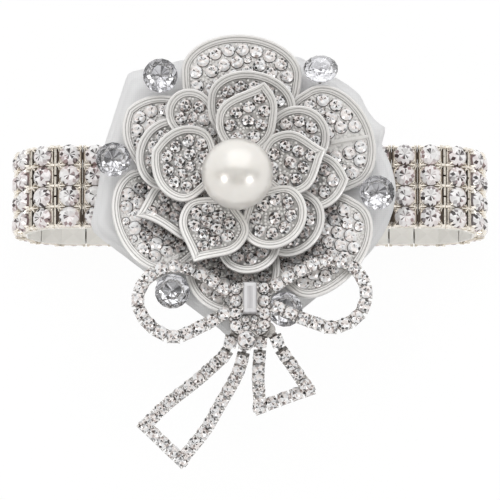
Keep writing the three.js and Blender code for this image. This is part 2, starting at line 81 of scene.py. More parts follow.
# The table: white paper, so bright that it reads as plain white, with the shadow of the
# corsage left in it. Metal and stones mirror the same white.
class Wire:
    """A socket that takes part in plain sums: each sum adds a Math node."""

    def __init__(self, tree, socket=None):
        self.tree = tree
        self.socket = socket

    def node(self, kind, settings=None, inputs=None, output=0):
        """Adds a node: its settings first, then the values or links of its sockets."""
        made = self.tree.nodes.new(kind)
        for name, value in (settings or {}).items():
            if name == "stops":
                stops = made.color_ramp.elements
                while len(stops) < len(value):
                    stops.new(1)
                for stop, (place, shade) in zip(stops, value):
                    stop.position = place
                    stop.color = (*shade, 1)
            else:
                setattr(made, name, value)
        for key, value in (inputs or {}).items():
            if isinstance(value, Wire):
                self.tree.links.new(value.socket, made.inputs[key])
            else:
                made.inputs[key].default_value = value
        return Wire(self.tree, made.outputs[output])

    def maths(self, operation, first, second=0.0):
        return self.node("ShaderNodeMath", {"operation": operation}, {0: first, 1: second})

    def __add__(self, other):
        return self.maths("ADD", self, other)

    __radd__ = __add__

    def __sub__(self, other):
        return self.maths("SUBTRACT", self, other)

    def __rsub__(self, other):
        return self.maths("SUBTRACT", other, self)

    def __mul__(self, other):
        return self.maths("MULTIPLY", self, other)

    __rmul__ = __mul__

    def ramp(self, *stops):
        """A colour ramp; a stop's colour may be one number, for a grey."""
        stops = [(at, c if isinstance(c, tuple) else (c, c, c)) for at, c in stops]
        return self.node("ShaderNodeValToRGB", {"stops": stops}, {"Fac": self})

    def mix(self, share, first, second, blend="MIX"):
        return self.node(
            "ShaderNodeMix", {"data_type": "RGBA", "blend_type": blend},
            {0: share, 6: first, 7: second}, output=2)

    def into(self, socket):
        self.tree.links.new(self.socket, socket)


def seen_white(wires):
    """One where the ray comes from the camera, a mirror or through glass."""
    rays = "ShaderNodeLightPath"
    seen = wires.node(rays, output="Is Camera Ray") + wires.node(rays, output="Is Glossy Ray")
    seen = seen + wires.node(rays, output="Is Transmission Ray")
    return wires.maths("MINIMUM", seen, 1.0)


def stage_sheet(name, low, high, height, finish, seen=True):
    """A flat rectangle of the scenery between two corners, in the camera's sight or out of it."""
    mesh = bpy.data.meshes.new(name)
    corners = ((low[0], low[1]), (high[0], low[1]), (high[0], high[1]), (low[0], high[1]))
    mesh.from_pydata([(x, y, height) for x, y in corners], [], [(0, 1, 2, 3)])
    mesh.materials.append(finish)
    sheet = show(name, mesh)
    sheet.visible_camera = seen


TABLE_HALF = 0.6
GLOW_SHARE = 0.93
paper = bpy.data.materials.new("white_paper")
paper.use_nodes = True
wires = Wire(paper.node_tree)
paper_shade = wires.node("ShaderNodeBsdfDiffuse", {}, {"Color": (0.9, 0.9, 0.9, 1)})
paper_glow = wires.node("ShaderNodeEmission", {}, {"Color": (1, 1, 1, 1), "Strength": 1.02})
paper_mix = wires.node(
    "ShaderNodeMixShader", {}, {0: GLOW_SHARE * seen_white(wires), 1: paper_shade, 2: paper_glow})
paper_mix.into(paper.node_tree.nodes["Material Output"].inputs["Surface"])
stage_sheet("table", (-TABLE_HALF, -TABLE_HALF), (TABLE_HALF, TABLE_HALF), 0, paper)

# The light: a bright room with a white panel on the far side, a greyer ceiling for metal and
# pearl to mirror, which never hides the corsage from a camera above it, and a small lamp at
# each side that shows in the pearl.
CEILING_HEIGHT = 0.95
CEILING_LOW = (-4.0, -0.9)
CEILING_HIGH = (4.0, 0.2)
LAMP_AIM = Vector((0, 0, 0.02))


def patches(wires, place):
    """Large soft patches, as of walls and windows."""
    return wires.node(
        "ShaderNodeTexNoise", {}, {"Vector": place, "Scale": 3.4, "Detail": 1.0, "Roughness": 0.4})


def new_finish(name, constants):
    """A finish with the values that are the same all over it on the shader's own sockets."""
    finish = bpy.data.materials.new(name)
    finish.use_nodes = True
    shader = finish.node_tree.nodes["Principled BSDF"]
    for socket, value in constants.items():
        shader.inputs[socket].default_value = value
    return finish, Wire(finish.node_tree), shader.inputs


def own_place(wires):
    return wires.node("ShaderNodeTexCoord", output="Object")


room = bpy.data.worlds.new("room")
scene.world = room
room.use_nodes = True
wires = Wire(room.node_tree)
room_way = wires.node("ShaderNodeTexCoord", output="Generated")
room_across = wires.node("ShaderNodeSeparateXYZ", {}, {0: room_way}, output="Y")
room_tone = (0.5 + 0.5 * room_across).ramp(
    (0.16, 0.85), (0.26, (0.5, 0.49, 0.47)), (0.56, (0.5, 0.49, 0.47)), (0.63, 1.1))
room_dapple = patches(wires, room_way).ramp((0.4, 0.42), (0.47, 0.86), (0.55, 1.0))
room_light = wires.mix(1.0, room_tone, room_dapple, "MULTIPLY")
room_seen = wires.mix(seen_white(wires), room_light, (1, 1, 1, 1))
room_seen.into(room.node_tree.nodes["Background"].inputs["Color"])

grey_ceiling, wires, sockets = new_finish("grey_ceiling", {
    "Base Color": (0, 0, 0, 1), "Specular IOR Level": 0.0, "Emission Strength": 1.0})
ceiling_tone = patches(wires, own_place(wires)).ramp(
    (0.4, (0.2, 0.2, 0.19)), (0.47, (0.43, 0.42, 0.4)), (0.55, (0.5, 0.49, 0.47)))
ceiling_tone.into(sockets["Emission Color"])
stage_sheet("ceiling", CEILING_LOW, CEILING_HIGH, CEILING_HEIGHT, grey_ceiling, seen=False)

for name, place, size, watts in (
        ("panel_behind", (0.05, 0.42, 0.5), 0.8, 1.0),
        ("lamp_left", (-0.41, -0.22, 0.43), 0.16, 0.5),
        ("lamp_right", (0.38, -0.26, 0.43), 0.16, 0.5)):
    lamp = bpy.data.lights.new(name, "AREA")
    lamp.size = size
    lamp.energy = watts
    holder = show(name, lamp)
    holder.location = place
    holder.rotation_euler = (LAMP_AIM - holder.location).to_track_quat("-Z", "Y").to_euler()

# The bracelet's cross bars: four square cups of plated brass with a round cut stone in each,
# claws shared by the cups' corners, and a smooth inner side that lies on the wrist.
ROWS = 4
ROW_PITCH = 3.6
BAR_PITCH = 4.4
BARS_PER_RUN = 15
BARS_PER_END = 5
GLUED_BARS = 7
BAND_Y = 11.392
TRACK_OFFSET = 2.15
ELASTIC_ROW = 5.4
SLOT_HALF_WIDTH = 0.85
SLOT_HALF_HEIGHT = 0.425
BODY_EDGE = 6.9
BODY_LOW = -0.55
BODY_HIGH = 0.43
BODY_OVER_PAD = 0.09
# The body is painted nearly black, as painted shade in the gaps between the bars
BODY_SHADE_TONE = 0.03
CUP_HALF_WIDTH = ROW_PITCH / 2 - 0.08
CUP_HALF_LENGTHS = (1.76, 1.82, 1.92)
CUP_LOW = 0.3
CUP_HIGH = 0.86
CUP_CHAMFER = 0.14
PAD_TIP = -0.86
PAD_EDGE = -0.74
PAD_TOP = -0.44
# The tones of a cup back's four flaps: those that face along the bar are painted darker, as painted
# shade
PAD_FLAP_SHADES = (1.0, 0.95, 1.0, 0.97)
STONE_LEVEL = 1.3
# Painted sparkle: light and dark facet tones that stand for the reflections in the bracelet's stones
ROSE_SPARKLE_TONES = (1.0, 1.0, 1.0, 0.94, 0.84, 0.62, 0.34, 0.05)
# How many different bars of a kind, half the length of their inner side, and how far claws lean
# out over the gap at the +X end and the other: on a straight run, at its ends, and in the bend
BAR_KINDS = {
    "run": (6, 2.07, (0.0, 0.0)), "first": (2, 2.07, (0.36, 0.0)), "last": (2, 2.07, (0.0, 0.36)),
    "bend": (6, 1.92, (0.36, 0.36))}
# Corners of the claws at a bar's end: along the bar, across it, and up
CLAW_KNOB = (
    (1.6, 0.36, 0.3), (2.1, 0.36, 0.3), (1.66, 0.36, 1.2), (2.08, 0.36, 1.15), (1.88, 0, 1.6))
CLAW_ARM = ((1.8, 0.17, 0.6), (0.7, 0.085, 0.9), (1.8, 0.136, 1.4), (0.75, 0.051, 1.3))
CLAW_LEG = (
    (1.82, 0.1, 0.3), (2.07, 0.1, 0.3), (1.84, 0.1, 1.15), (2.04, 0.1, 1.1),
    (1.7, 0.85, 0.3), (1.9, 0.85, 0.3), (1.72, 0.75, 0.8), (1.84, 0.75, 0.76))
CLAW_TIP = (
    (1.84, 0.1, 0.9), (1.4, 0.16, 0.9), (1.8, 0.6, 0.9), (1.84, 0.1, 1.5),
    (1.22, 0.52, 1.62), (1.34, 0.42, 1.76), (1.42, 0.66, 1.6))
# How far the claws of the outermost rows are moved inwards
CLAW_INSETS = {0: 0.26, ROWS: -0.46}
dice = random.Random(41)


class Shape:
    """Points and faces of one mesh; each face has a tone, a finish and flat or smooth shading."""

    def __init__(self):
        self.points = []
        self.faces = []

    def point(self, place):
        self.points.append(Vector(place))
        return len(self.points) - 1

    def face(self, corners, tone=1.0, finish=0, smooth=False):
        self.faces.append((tuple(corners), tone, finish, smooth))

    def ring(self, radius, height, count, turn=0.0):
        """A ring of points round the Z axis."""
        angles = [2 * math.pi * (k + turn) / count for k in range(count)]
        return [self.point((radius * math.cos(a), radius * math.sin(a), height)) for a in angles]

    def join(self, lower, upper, tone=1.0, finish=0, smooth=False):
        """Faces between two closed loops, outwards where the first is the lower or outer one."""
        for k in range(len(lower)):
            n = (k + 1) % len(lower)
            self.face((lower[k], lower[n], upper[n], upper[k]), tone, finish, smooth)

    def fan(self, loop, middle, tone=1.0, finish=0, smooth=False):
        for k in range(len(loop)):
            self.face((loop[k], loop[(k + 1) % len(loop)], middle), tone, finish, smooth)

    def flip(self):
        """Turns every face to its other side."""
        self.faces = [(corners[::-1], *rest) for corners, *rest in self.faces]

    def add(self, other, place=Matrix()):
        """Takes in a copy of another shape, moved by a matrix."""
        first = len(self.points)
        self.points += [place @ p for p in other.points]
        for corners, tone, finish, smooth in other.faces:
            self.faces.append((tuple(first + c for c in corners), tone, finish, smooth))

    def build(self, name, finishes):
        """Makes the mesh, in metres, with the tones in an attribute that the finishes read."""
        mesh = bpy.data.meshes.new(name)
        mesh.from_pydata([p * MM for p in self.points], [], [face[0] for face in self.faces])
        for finish in finishes:
            mesh.materials.append(finish)
        mesh.polygons.foreach_set("material_index", [face[2] for face in self.faces])
        mesh.polygons.foreach_set("use_smooth", [face[3] for face in self.faces])
        tone = mesh.attributes.new("tone", "FLOAT", "FACE")
        tone.data.foreach_set("value", [face[1] for face in self.faces])
        mesh.validate()
        return mesh


def convex(points, tone=1.0, finish=0, smooth=False):
    """The solid that is stretched round some points, for claws, beads and chamfered blocks."""
    form = bmesh.new()
    for p in points:
        form.verts.new(p)
    hull = bmesh.ops.convex_hull(form, input=form.verts)
    spare = {item for item in hull["geom_interior"] + hull["geom_unused"]
             if isinstance(item, bmesh.types.BMVert)}
    bmesh.ops.delete(form, geom=list(spare), context="VERTS")
    bmesh.ops.recalc_face_normals(form, faces=form.faces)
    form.verts.index_update()
    solid = Shape()
    solid.points = [v.co.copy() for v in form.verts]
    for f in form.faces:
        solid.face([v.index for v in f.verts], tone, finish, smooth)
    form.free()
    return solid


def chamfered(low, high, chamfer, tone=1.0, finish=0):
    """A block between two corners with its edges taken off."""
    middle = (Vector(low) + Vector(high)) / 2
    half = (Vector(high) - Vector(low)) / 2
    points = []
    for axis in range(3):
        for sx in (-1, 1):
            for sy in (-1, 1):
                for sz in (-1, 1):
                    signs = (sx, sy, sz)
                    points.append([
                        middle[i] + signs[i] * (half[i] - (0 if i == axis else chamfer))
                        for i in range(3)])
    return convex(points, tone, finish)


def cut_crown(stone, radius, rise, tones, finish, sides=8):
    """The facets above a stone's girdle, in painted sparkle: light and dark tones stand for the facets'
    reflections. Each half side has one tone from the middle to the edge, and the kites between have the
    paler half of the tones. Returns the girdle."""
    table_radius = 0.56 * radius
    table = stone.ring(table_radius, rise, sides)
    halves = stone.ring(table_radius * math.cos(math.pi / sides), rise, sides, 0.5)
    stars = stone.ring(0.78 * radius, 0.62 * rise, sides, 0.5)
    girdle = stone.ring(radius, 0, 2 * sides)
    middle = stone.point((0, 0, rise - 0.1 * radius))
    spokes = [dice.choice(tones) for _ in range(2 * sides)]
    pale = tones[:4]
    for k in range(sides):
        n = (k + 1) % sides
        first, second = spokes[2 * k], spokes[2 * k + 1]
        stone.face((table[k], halves[k], middle), first, finish)
        stone.face((halves[k], table[n], middle), second, finish)
        stone.face((table[k], stars[k], table[n], halves[k]), dice.choice(pale), finish)
        stone.face((table[k], stars[k - 1], girdle[2 * k], stars[k]), dice.choice(tones), finish)
        stone.face((stars[k], girdle[2 * k], girdle[2 * k + 1]), first, finish)
        stone.face((stars[k], girdle[2 * k + 1], girdle[2 * n]), second, finish)
    return girdle


def brilliant(diameter, rise, depth, tones, shadow_ring=0.0, finish=0, sides=8, shade_below=0.2):
    """A round cut stone with its girdle at height 0. The dark ring round it is a painted shadow of the
    setting, and the tone under the girdle is painted dark, as painted shade."""
    stone = Shape()
    radius = diameter / 2
    girdle = cut_crown(stone, radius, rise, tones, finish, sides)
    if shadow_ring:
        # The ring round the girdle is painted near black, a painted shadow of the setting.
        edge = stone.ring(radius + shadow_ring, -0.1, 2 * sides)
        stone.join(edge, girdle, 0.1, finish)
        girdle = edge
    # Under the girdle the stone is painted darker, as painted shade.
    foot = stone.ring(0.95 * radius + shadow_ring, -depth, 2 * sides)
    stone.join(foot, girdle, shade_below, finish)
    stone.face(foot[::-1], shade_below, finish)
    return stone


def tone_of(wires):
    return wires.node("ShaderNodeAttribute", {"attribute_name": "tone"}, output="Fac")


def grain(wires, scale, detail=2.0):
    return wires.node(
        "ShaderNodeTexNoise", {}, {"Vector": own_place(wires), "Scale": scale, "Detail": detail})


def cloudy(wires, least, spread, scale):
    return least + spread * grain(wires, scale)


def bump(wires, height, strength, distance):
    return wires.node(
        "ShaderNodeBump", {}, {"Height": height, "Strength": strength, "Distance": distance})


def plated(name, constants, cloud, stops, polish):
    """A plated metal: its colour follows the tones with a cloudy grain, its gloss a finer one."""
    finish, wires, sockets = new_finish(name, constants)
    (tone_of(wires) * cloudy(wires, *cloud)).ramp(*stops).into(sockets["Base Color"])
    cloudy(wires, *polish).into(sockets["Roughness"])
    return finish, wires, sockets


def foiled(name, roughness, clear, tinted, scale, limits):
    """Cut glass backed with foil: a tone for each facet, a painted sparkle that stands for the facets'
    reflections, clear or tinted by patches.
    """
    finish, wires, sockets = new_finish(
        name, {"Metallic": 0.1, "Roughness": roughness, "IOR": 1.6})
    clear_tone = tone_of(wires).ramp(*clear)
    tinted_tone = tone_of(wires).ramp(*tinted)
    share = grain(wires, scale, 0.0).ramp((limits[0], 0), (limits[1], 1))
    wires.mix(share, clear_tone, tinted_tone).into(sockets["Base Color"])
    return finish


cream_plate, wires, sockets = plated(
    "cream_plate", {"Metallic": 0.7}, (0.86, 0.28, 700),
    ((0.0, (0.05, 0.035, 0.025)), (0.5, (0.5, 0.42, 0.33)), (1.0, (0.98, 0.93, 0.85))),
    (0.12, 0.2, 1900))
bump(wires, grain(wires, 2600), 0.12, 0.00004).into(sockets["Normal"])
rose_stone = foiled(
    "rose_tinted_stone", 0.1,
    ((0.0, (0.015, 0.012, 0.013)), (0.45, (0.4, 0.37, 0.38)), (1.0, (0.97, 0.96, 0.96))),
    ((0.0, (0.03, 0.015, 0.015)), (0.45, (0.5, 0.37, 0.37)), (1.0, (0.97, 0.93, 0.93))),
    420, (0.45, 0.62))
# The cups' backs: a paler, less metallic copy of the cream plate, painted lighter as painted light, so
# that they read bright in the shade of the front band
lit_cream_pad, _, _ = plated(
    "lit_cream_pad", {"Specular IOR Level": 0.6}, (0.93, 0.12, 500),
    ((0.5, (0.5, 0.48, 0.44)), (1.0, (0.99, 0.975, 0.94))), (0.16, 0.16, 1900))
BAR_FINISHES = [cream_plate, rose_stone, lit_cream_pad]
STONE, PAD = 1, 2


def doubled(corners):
    """Corners on both sides of the middle."""
    return [(x, side, z) for x, y, z in corners for side in ((-y, y) if y else (0,))]


def flipped(corners, sx, sy):
    return [(sx * x, sy * y, z) for x, y, z in corners]


def corner_claws(sides, overhang):
    """Claws where cups meet at a bar's end: a knob, an arm between the rows, and on each side a
    leg along the cup's edge and a tip over the stone. Over a gap that opens in the bend, a
    second knob leans out, with a tongue to each side."""
    claws = Shape()
    if overhang:
        end = 2.1 + overhang
        claws.add(convex(doubled((
            (1.7, 0.34, 0.9), (1.7, 0.34, 1.35), (end, 0.204, 1.0), (end, 0.17, 1.25),
            (1.95, 0.136, 1.6)))))
        for side in sides:
            claws.add(convex(
                [(x, side * y, z) for y in (0.1, 1.64)
                 for x, z in ((2.27, 0.5), (end - 0.14, 0.5), (2.27, 0.95), (end - 0.04, 0.95))], 0.9))
    claws.add(convex(doubled(CLAW_KNOB)))
    claws.add(convex(doubled(CLAW_ARM), 0.95))
    for side in sides:
        claws.add(convex(flipped(CLAW_LEG, 1, side), 0.95))
        claws.add(convex(flipped(CLAW_TIP, 1, side)))
    return claws


def slotted_body(half):
    """The bar's body, with a passage along X for each elastic; faces only where cells end. It is painted
    nearly black, as painted shade in the gaps between the bars, except its outer ends across the rows,
    which are cream.
    """
    body = Shape()
    ys = [-BODY_EDGE, -ELASTIC_ROW - SLOT_HALF_WIDTH, -ELASTIC_ROW + SLOT_HALF_WIDTH]
    ys += [-y for y in reversed(ys)]
    zs = [BODY_LOW, -SLOT_HALF_HEIGHT, SLOT_HALF_HEIGHT, BODY_HIGH]
    corner = {}
    for i, y in enumerate(ys):
        for j, z in enumerate(zs):
            for side in (-1, 1):
                corner[i, j, side] = body.point((side * half, y, z))

    def solid(i, j):
        return 0 <= i < len(ys) - 1 and 0 <= j < len(zs) - 1 and not (j == 1 and i in (1, 3))

    for i in range(len(ys) - 1):
        for j in range(len(zs) - 1):
            if not solid(i, j):
                continue
            loop = ((i, j), (i + 1, j), (i + 1, j + 1), (i, j + 1))
            body.face([corner[a, b, 1] for a, b in loop], BODY_SHADE_TONE)
            body.face([corner[a, b, -1] for a, b in reversed(loop)], BODY_SHADE_TONE)
            sides = ((i, j - 1), (i + 1, j), (i, j + 1), (i - 1, j))
            for k, (a, b) in enumerate(sides):
                if not solid(a, b):
                    first, second = loop[k], loop[(k + 1) % 4]
                    tone = BODY_SHADE_TONE if 0 <= a < len(ys) - 1 else 0.9
                    body.face((corner[(*first, -1)], corner[(*second, -1)],
                               corner[(*second, 1)], corner[(*first, 1)]), tone)
    return body


def folded_back(half, y):
    """The back of a cup: four flaps of the stamped sheet, folded to a low point; the flaps that face
    along the bar are painted darker, as painted shade.
    """
    back = Shape()
    loops = []
    for z in (PAD_EDGE, PAD_TOP):
        loops.append([back.point((sx * half, y + sy * CUP_HALF_WIDTH, z))
                      for sx, sy in ((-1, -1), (1, -1), (1, 1), (-1, 1))])
    back.join(*loops, 1.0, PAD)
    back.face(loops[1], 1.0, PAD)
    tip = back.point((0, y, PAD_TIP))
    for k, tone in enumerate(PAD_FLAP_SHADES):
        back.face((loops[0][(k + 1) % 4], loops[0][k], tip), tone, PAD)
    return back


def make_bar(pad, overhangs):
    """A bar about the middle of its elastics: X along them, Y across the rows, +Z outwards. The
    cups at the far edge are cut short, so that the stones scallop it."""
    bar = Shape()
    bar.add(slotted_body(pad + BODY_OVER_PAD))
    for row in range(ROWS):
        y = (row - (ROWS - 1) / 2) * ROW_PITCH
        left, right = (dice.choice(CUP_HALF_LENGTHS) for _ in range(2))
        far = min(y + CUP_HALF_WIDTH, BODY_EDGE)
        bar.add(chamfered(
            (-left, y - CUP_HALF_WIDTH, CUP_LOW), (right, far, CUP_HIGH), CUP_CHAMFER, 0.8))
        bar.add(folded_back(pad, y))
        turn = Matrix.Rotation(dice.uniform(0, math.pi), 4, "Z")
        bar.add(dice.choice(rose_stones), Matrix.Translation((0, y, STONE_LEVEL)) @ turn)
    for line in range(ROWS + 1):
        y = (line - ROWS / 2) * ROW_PITCH + CLAW_INSETS.get(line, 0)
        sides = {0: (1,), ROWS: (-1,)}.get(line, (-1, 1))
        for end, overhang in zip((0, math.pi), overhangs):
            claws = corner_claws([s if end == 0 else -s for s in sides], overhang)
            bar.add(claws, Matrix.Translation((0, y, 0)) @ Matrix.Rotation(end, 4, "Z"))
    return bar


rose_stones = [
    brilliant(3.5, 0.72, 0.7, ROSE_SPARKLE_TONES, finish=STONE, sides=11, shade_below=0.35) for _ in range(10)]
bar_meshes = {}
for kind, (variants, *sizes) in BAR_KINDS.items():
    bar_meshes[kind] = [make_bar(*sizes).build("cup_bar", BAR_FINISHES) for _ in range(variants)]


def band_stations():
    """Where each bar lies on the closed track: side, number there, matrix and heading."""
    corner = Vector((-BARS_PER_RUN * BAR_PITCH / 2, TRACK_OFFSET))
    turn = math.pi / (BARS_PER_END + 1)
    stations = []
    for side in ("back", "front"):
        start = 0 if side == "back" else math.pi
        for index in range(BARS_PER_RUN + BARS_PER_END):
            heading = start + max(0, index - BARS_PER_RUN + 1) * turn
            along = Vector((math.cos(heading), math.sin(heading)))
            centre = corner + along * BAR_PITCH / 2
            corner = corner + along * BAR_PITCH
            place = Matrix.Translation((centre.x, BAND_Y, centre.y))
            place = place @ Matrix.Rotation(math.pi - heading, 4, "Y")
            stations.append((side, index, place, heading))
    return stations


def bar_name(side, index):
    """The node that a station's bar stands for; the glued bars belong to the keeper plate."""
    from_middle = index - BARS_PER_RUN // 2
    run_side = "right" if (side == "back") == (from_middle > 0) else "left"
    if index >= BARS_PER_RUN:
        return f"bar_end_{'right' if side == 'back' else 'left'}_{index - BARS_PER_RUN + 1}"
    if side == "back":
        return f"bar_back_{run_side}_{abs(from_middle)}" if from_middle else "bar_back_center"
    if abs(from_middle) <= GLUED_BARS // 2:
        return "keeper_plate"
    return f"bar_front_{run_side}_{abs(from_middle) - GLUED_BARS // 2}"


body_of = {}
for body, members in frame["record"]["behaviour"]["bodies"].items():
    for member in members:
        body_of[member] = body


def stand_for(piece, node):
    """The piece takes a node's place and moves with its body."""
    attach(piece, body_of[node])
    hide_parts(node)


glued_places = []
for side, index, place, _ in band_stations():
    node = bar_name(side, index)
    if node == "keeper_plate":
        glued_places.append(place)
        continue
    kind = {0: "first", BARS_PER_RUN - 1: "last"}.get(index, "run")
    if index >= BARS_PER_RUN:
        kind = "bend"
    place.translation = place.translation * MM
    stand_for(show(f"cup_{node}", dice.choice(bar_meshes[kind]), place), node)

# The elastics: two flat dark bands threaded through every bar, in a right and a left half.
ELASTIC_WIDTH = 1.2
ELASTIC_THICKNESS = 0.35
RUN_HALF = BARS_PER_RUN * BAR_PITCH / 2


def waves(wires, axis, scale, distortion):
    return wires.node(
        "ShaderNodeTexWave", {"bands_direction": axis},
        {"Vector": own_place(wires), "Scale": scale, "Distortion": distortion})


dark_elastic, wires, sockets = new_finish("dark_elastic", {"Roughness": 0.8})
ribbing = waves(wires, "Y", 800.0, 0.6)
ribbing.ramp((0.0, (0.012, 0.01, 0.009)), (1.0, (0.05, 0.042, 0.038))).into(sockets["Base Color"])
bump(wires, ribbing, 0.3, 0.00005).into(sockets["Normal"])


def track_half(side):
    """The elastic's middle line in X and Z round one end, from the back's middle to the front's."""
    shares = (0.0, 0.25, 0.5, 0.75, 1.0)
    line = [Vector((RUN_HALF * share, TRACK_OFFSET)) for share in shares]
    for run, index, _, heading in band_stations():
        if run == "back" and index >= BARS_PER_RUN:
            line.append(line[-1] + BAR_PITCH * Vector((math.cos(heading), math.sin(heading))))
    top = line[-1].y
    line += [Vector((RUN_HALF * share, top)) for share in reversed(shares[:-1])]
    return [Vector((side * p.x, p.y)) for p in line]


def make_elastic(line):
    band = Shape()
    loops = []
    half = ELASTIC_WIDTH / 2
    for i, p in enumerate(line):
        along = (line[min(len(line) - 1, i + 1)] - line[max(0, i - 1)]).normalized()
        out = Vector((along.y, -along.x)) * ELASTIC_THICKNESS / 2
        loops.append([band.point((p.x + sign * out.x, across, p.y + sign * out.y))
                      for sign, across in ((1, -half), (1, half), (-1, half), (-1, -half))])
    for first, second in zip(loops, loops[1:]):
        band.join(first, second)
    band.face(loops[0][::-1])
    band.face(loops[-1])
    return band


for row_name, row in (("upper", ELASTIC_ROW), ("lower", -ELASTIC_ROW)):
    for side_name, side in (("right", 1), ("left", -1)):
        half_band = Shape()
        half_band.add(make_elastic(track_half(side)), Matrix.Translation((0, BAND_Y + row, 0)))
        if side < 0:
            half_band.flip()
        piece = show(
            f"elastic_{row_name}_{side_name}_half",
            half_band.build(f"elastic_{row_name}_{side_name}", [dark_elastic]))
        side * RUN_HALF * MM
        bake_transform(piece)
        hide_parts(f"elastic_{row_name}")

# The keeper plate: a stamped plate with rounded corners, glued over the seven bars in the
# middle of the front, which carries the ribbon and the flower.
KEEPER_LENGTH = GLUED_BARS * BAR_PITCH - 0.8
KEEPER_WIDTH = 13.4
KEEPER_CORNER = 3
KEEPER_LOW = 20.52
KEEPER_HIGH = 21.32
PLATE_CHAMFER = 0.15
MIDDLE = Vector((0, 0))


def rounded_corners(length, width, corner, steps=6):
    edge = []
    for k, (sx, sy) in enumerate(((1, 1), (-1, 1), (-1, -1), (1, -1))):
        for step in range(steps + 1):
            angle = (k + step / steps) * math.pi / 2
            edge.append(Vector((
                sx * (length / 2 - corner) + corner * math.cos(angle),
                sy * (width / 2 - corner) + corner * math.sin(angle))))
    return edge


def stamped_plate(edge, low, high, chamfer, middle, tone):
    """A flat plate inside an edge, with the edge taken off above and below."""
    plate = Shape()
    loops = []
    for inset, height in ((chamfer, low), (0, low + chamfer), (0, high - chamfer), (chamfer, high)):
        loops.append([
            plate.point((*(p - (p - middle).normalized() * inset), height)) for p in edge])
    for first, second in zip(loops, loops[1:]):
        plate.join(first, second, tone)
    plate.face(loops[0][::-1], tone)
    plate.face(loops[-1], tone)
    return plate


def set_piece(name, shape, finishes, node, place=Matrix()):
    """Builds a shape, moved by a matrix, as the piece that stands for a node."""
    placed = Shape()
    placed.add(shape, place)
    piece = show(name, placed.build(name, finishes))
    stand_for(piece, node)
    return piece


keeper = Shape()
keeper_edge = rounded_corners(KEEPER_LENGTH, KEEPER_WIDTH, KEEPER_CORNER)
keeper.add(
    stamped_plate(keeper_edge, KEEPER_LOW, KEEPER_HIGH, PLATE_CHAMFER, MIDDLE, 0.9),
    Matrix.Translation((0, BAND_Y, 0)))
for place in glued_places:
    keeper.add(make_bar(*BAR_KINDS["run"][1:]), place)
set_piece("keeper_plate_and_bars", keeper, BAR_FINISHES, "keeper_plate")

# The ribbon: sheer white ribbon folded into a left and a right piece, two layers of each,
# gathered under the flower and cut out round the flange of its post.
FLOWER = Vector((-2.1, 10.392))
FLANGE_CUT = 3.3
RIBBON_THICKNESS = 0.22
RIBBON_RINGS = 9
LEFT_RIBBON = [
    [-2.4, 21], [-11.4, 21.5], [-20.2, 19.4], [-20.9, 19.2, -21.1, 18.4], [-24.7, 7],
    [-25.6, 0, -26.9, -6.4], [-27.2, -8.3, -25.6, -9.3], [-6.8, -23.8], [-4.6, -25.4, -3.4, -27],
    [-2.4, -27],
]
RIGHT_RIBBON = [
    [-1.8, -24], [7, -23.2], [13.5, -17.8, 19.7, -12.7], [24.8, -7, 24.8, -1], [24.4, 3.6, 22.3, 6.3],
    [23.2, 9.6], [20.4, 11, 18.9, 15.1], [17, 17.4, 10.2, 20.8], [8.6, 22.4, 7, 22], [-1.8, 21],
]
# A layer's size, its level, how many ripples it has and where they start
RIBBON_LAYERS = (("under", 1.0, 21.95, 7, 0.4), ("over", 0.94, 22.45, 5, 1.9))

sheer_ribbon, wires, sockets = new_finish(
    "sheer_ribbon", {"Roughness": 0.6, "Sheen Weight": 0.25, "Sheen Roughness": 0.4})
weave = 0.5 * waves(wires, "X", 900.0, 0.5) + 0.5 * waves(wires, "Y", 900.0, 0.5)
cloth_shade = 0.25 * weave + 0.75 * grain(wires, 60)
cloth_shade.ramp((0.2, (0.84, 0.845, 0.86)), (0.6, (0.93, 0.93, 0.935))).into(sockets["Base Color"])
bump(wires, weave, 0.15, 0.00004).into(sockets["Normal"])


def curved_edge(corners, steps=6):
    """The points of an outline whose stretches are corners or bends with their ends."""
    edge = [Vector(corners[0])]
    for stretch in corners[1:]:
        end = Vector(stretch[-2:])
        if len(stretch) > 2:
            bend = Vector(stretch[:2])
            start = edge[-1]
            for k in range(1, steps + 1):
                t = k / steps
                edge.append((1 - t) ** 2 * start + 2 * t * (1 - t) * bend + t * t * end)
        else:
            edge.append(end)
    return edge


def evenly(points, count, closed=True):
    """The same line with its points at equal distances."""
    line = list(points) + ([points[0]] if closed else [])
    marks = [0.0]
    for a, b in zip(line, line[1:]):
        marks.append(marks[-1] + (b - a).length)
    found = []
    k = 0
    for i in range(count):
        goal = marks[-1] * i / (count if closed else count - 1)
        while k < len(marks) - 2 and marks[k + 1] < goal:
            k += 1
        share = (goal - marks[k]) / max(marks[k + 1] - marks[k], 1e-9)
        found.append(line[k].lerp(line[k + 1], min(share, 1.0)))
    return found


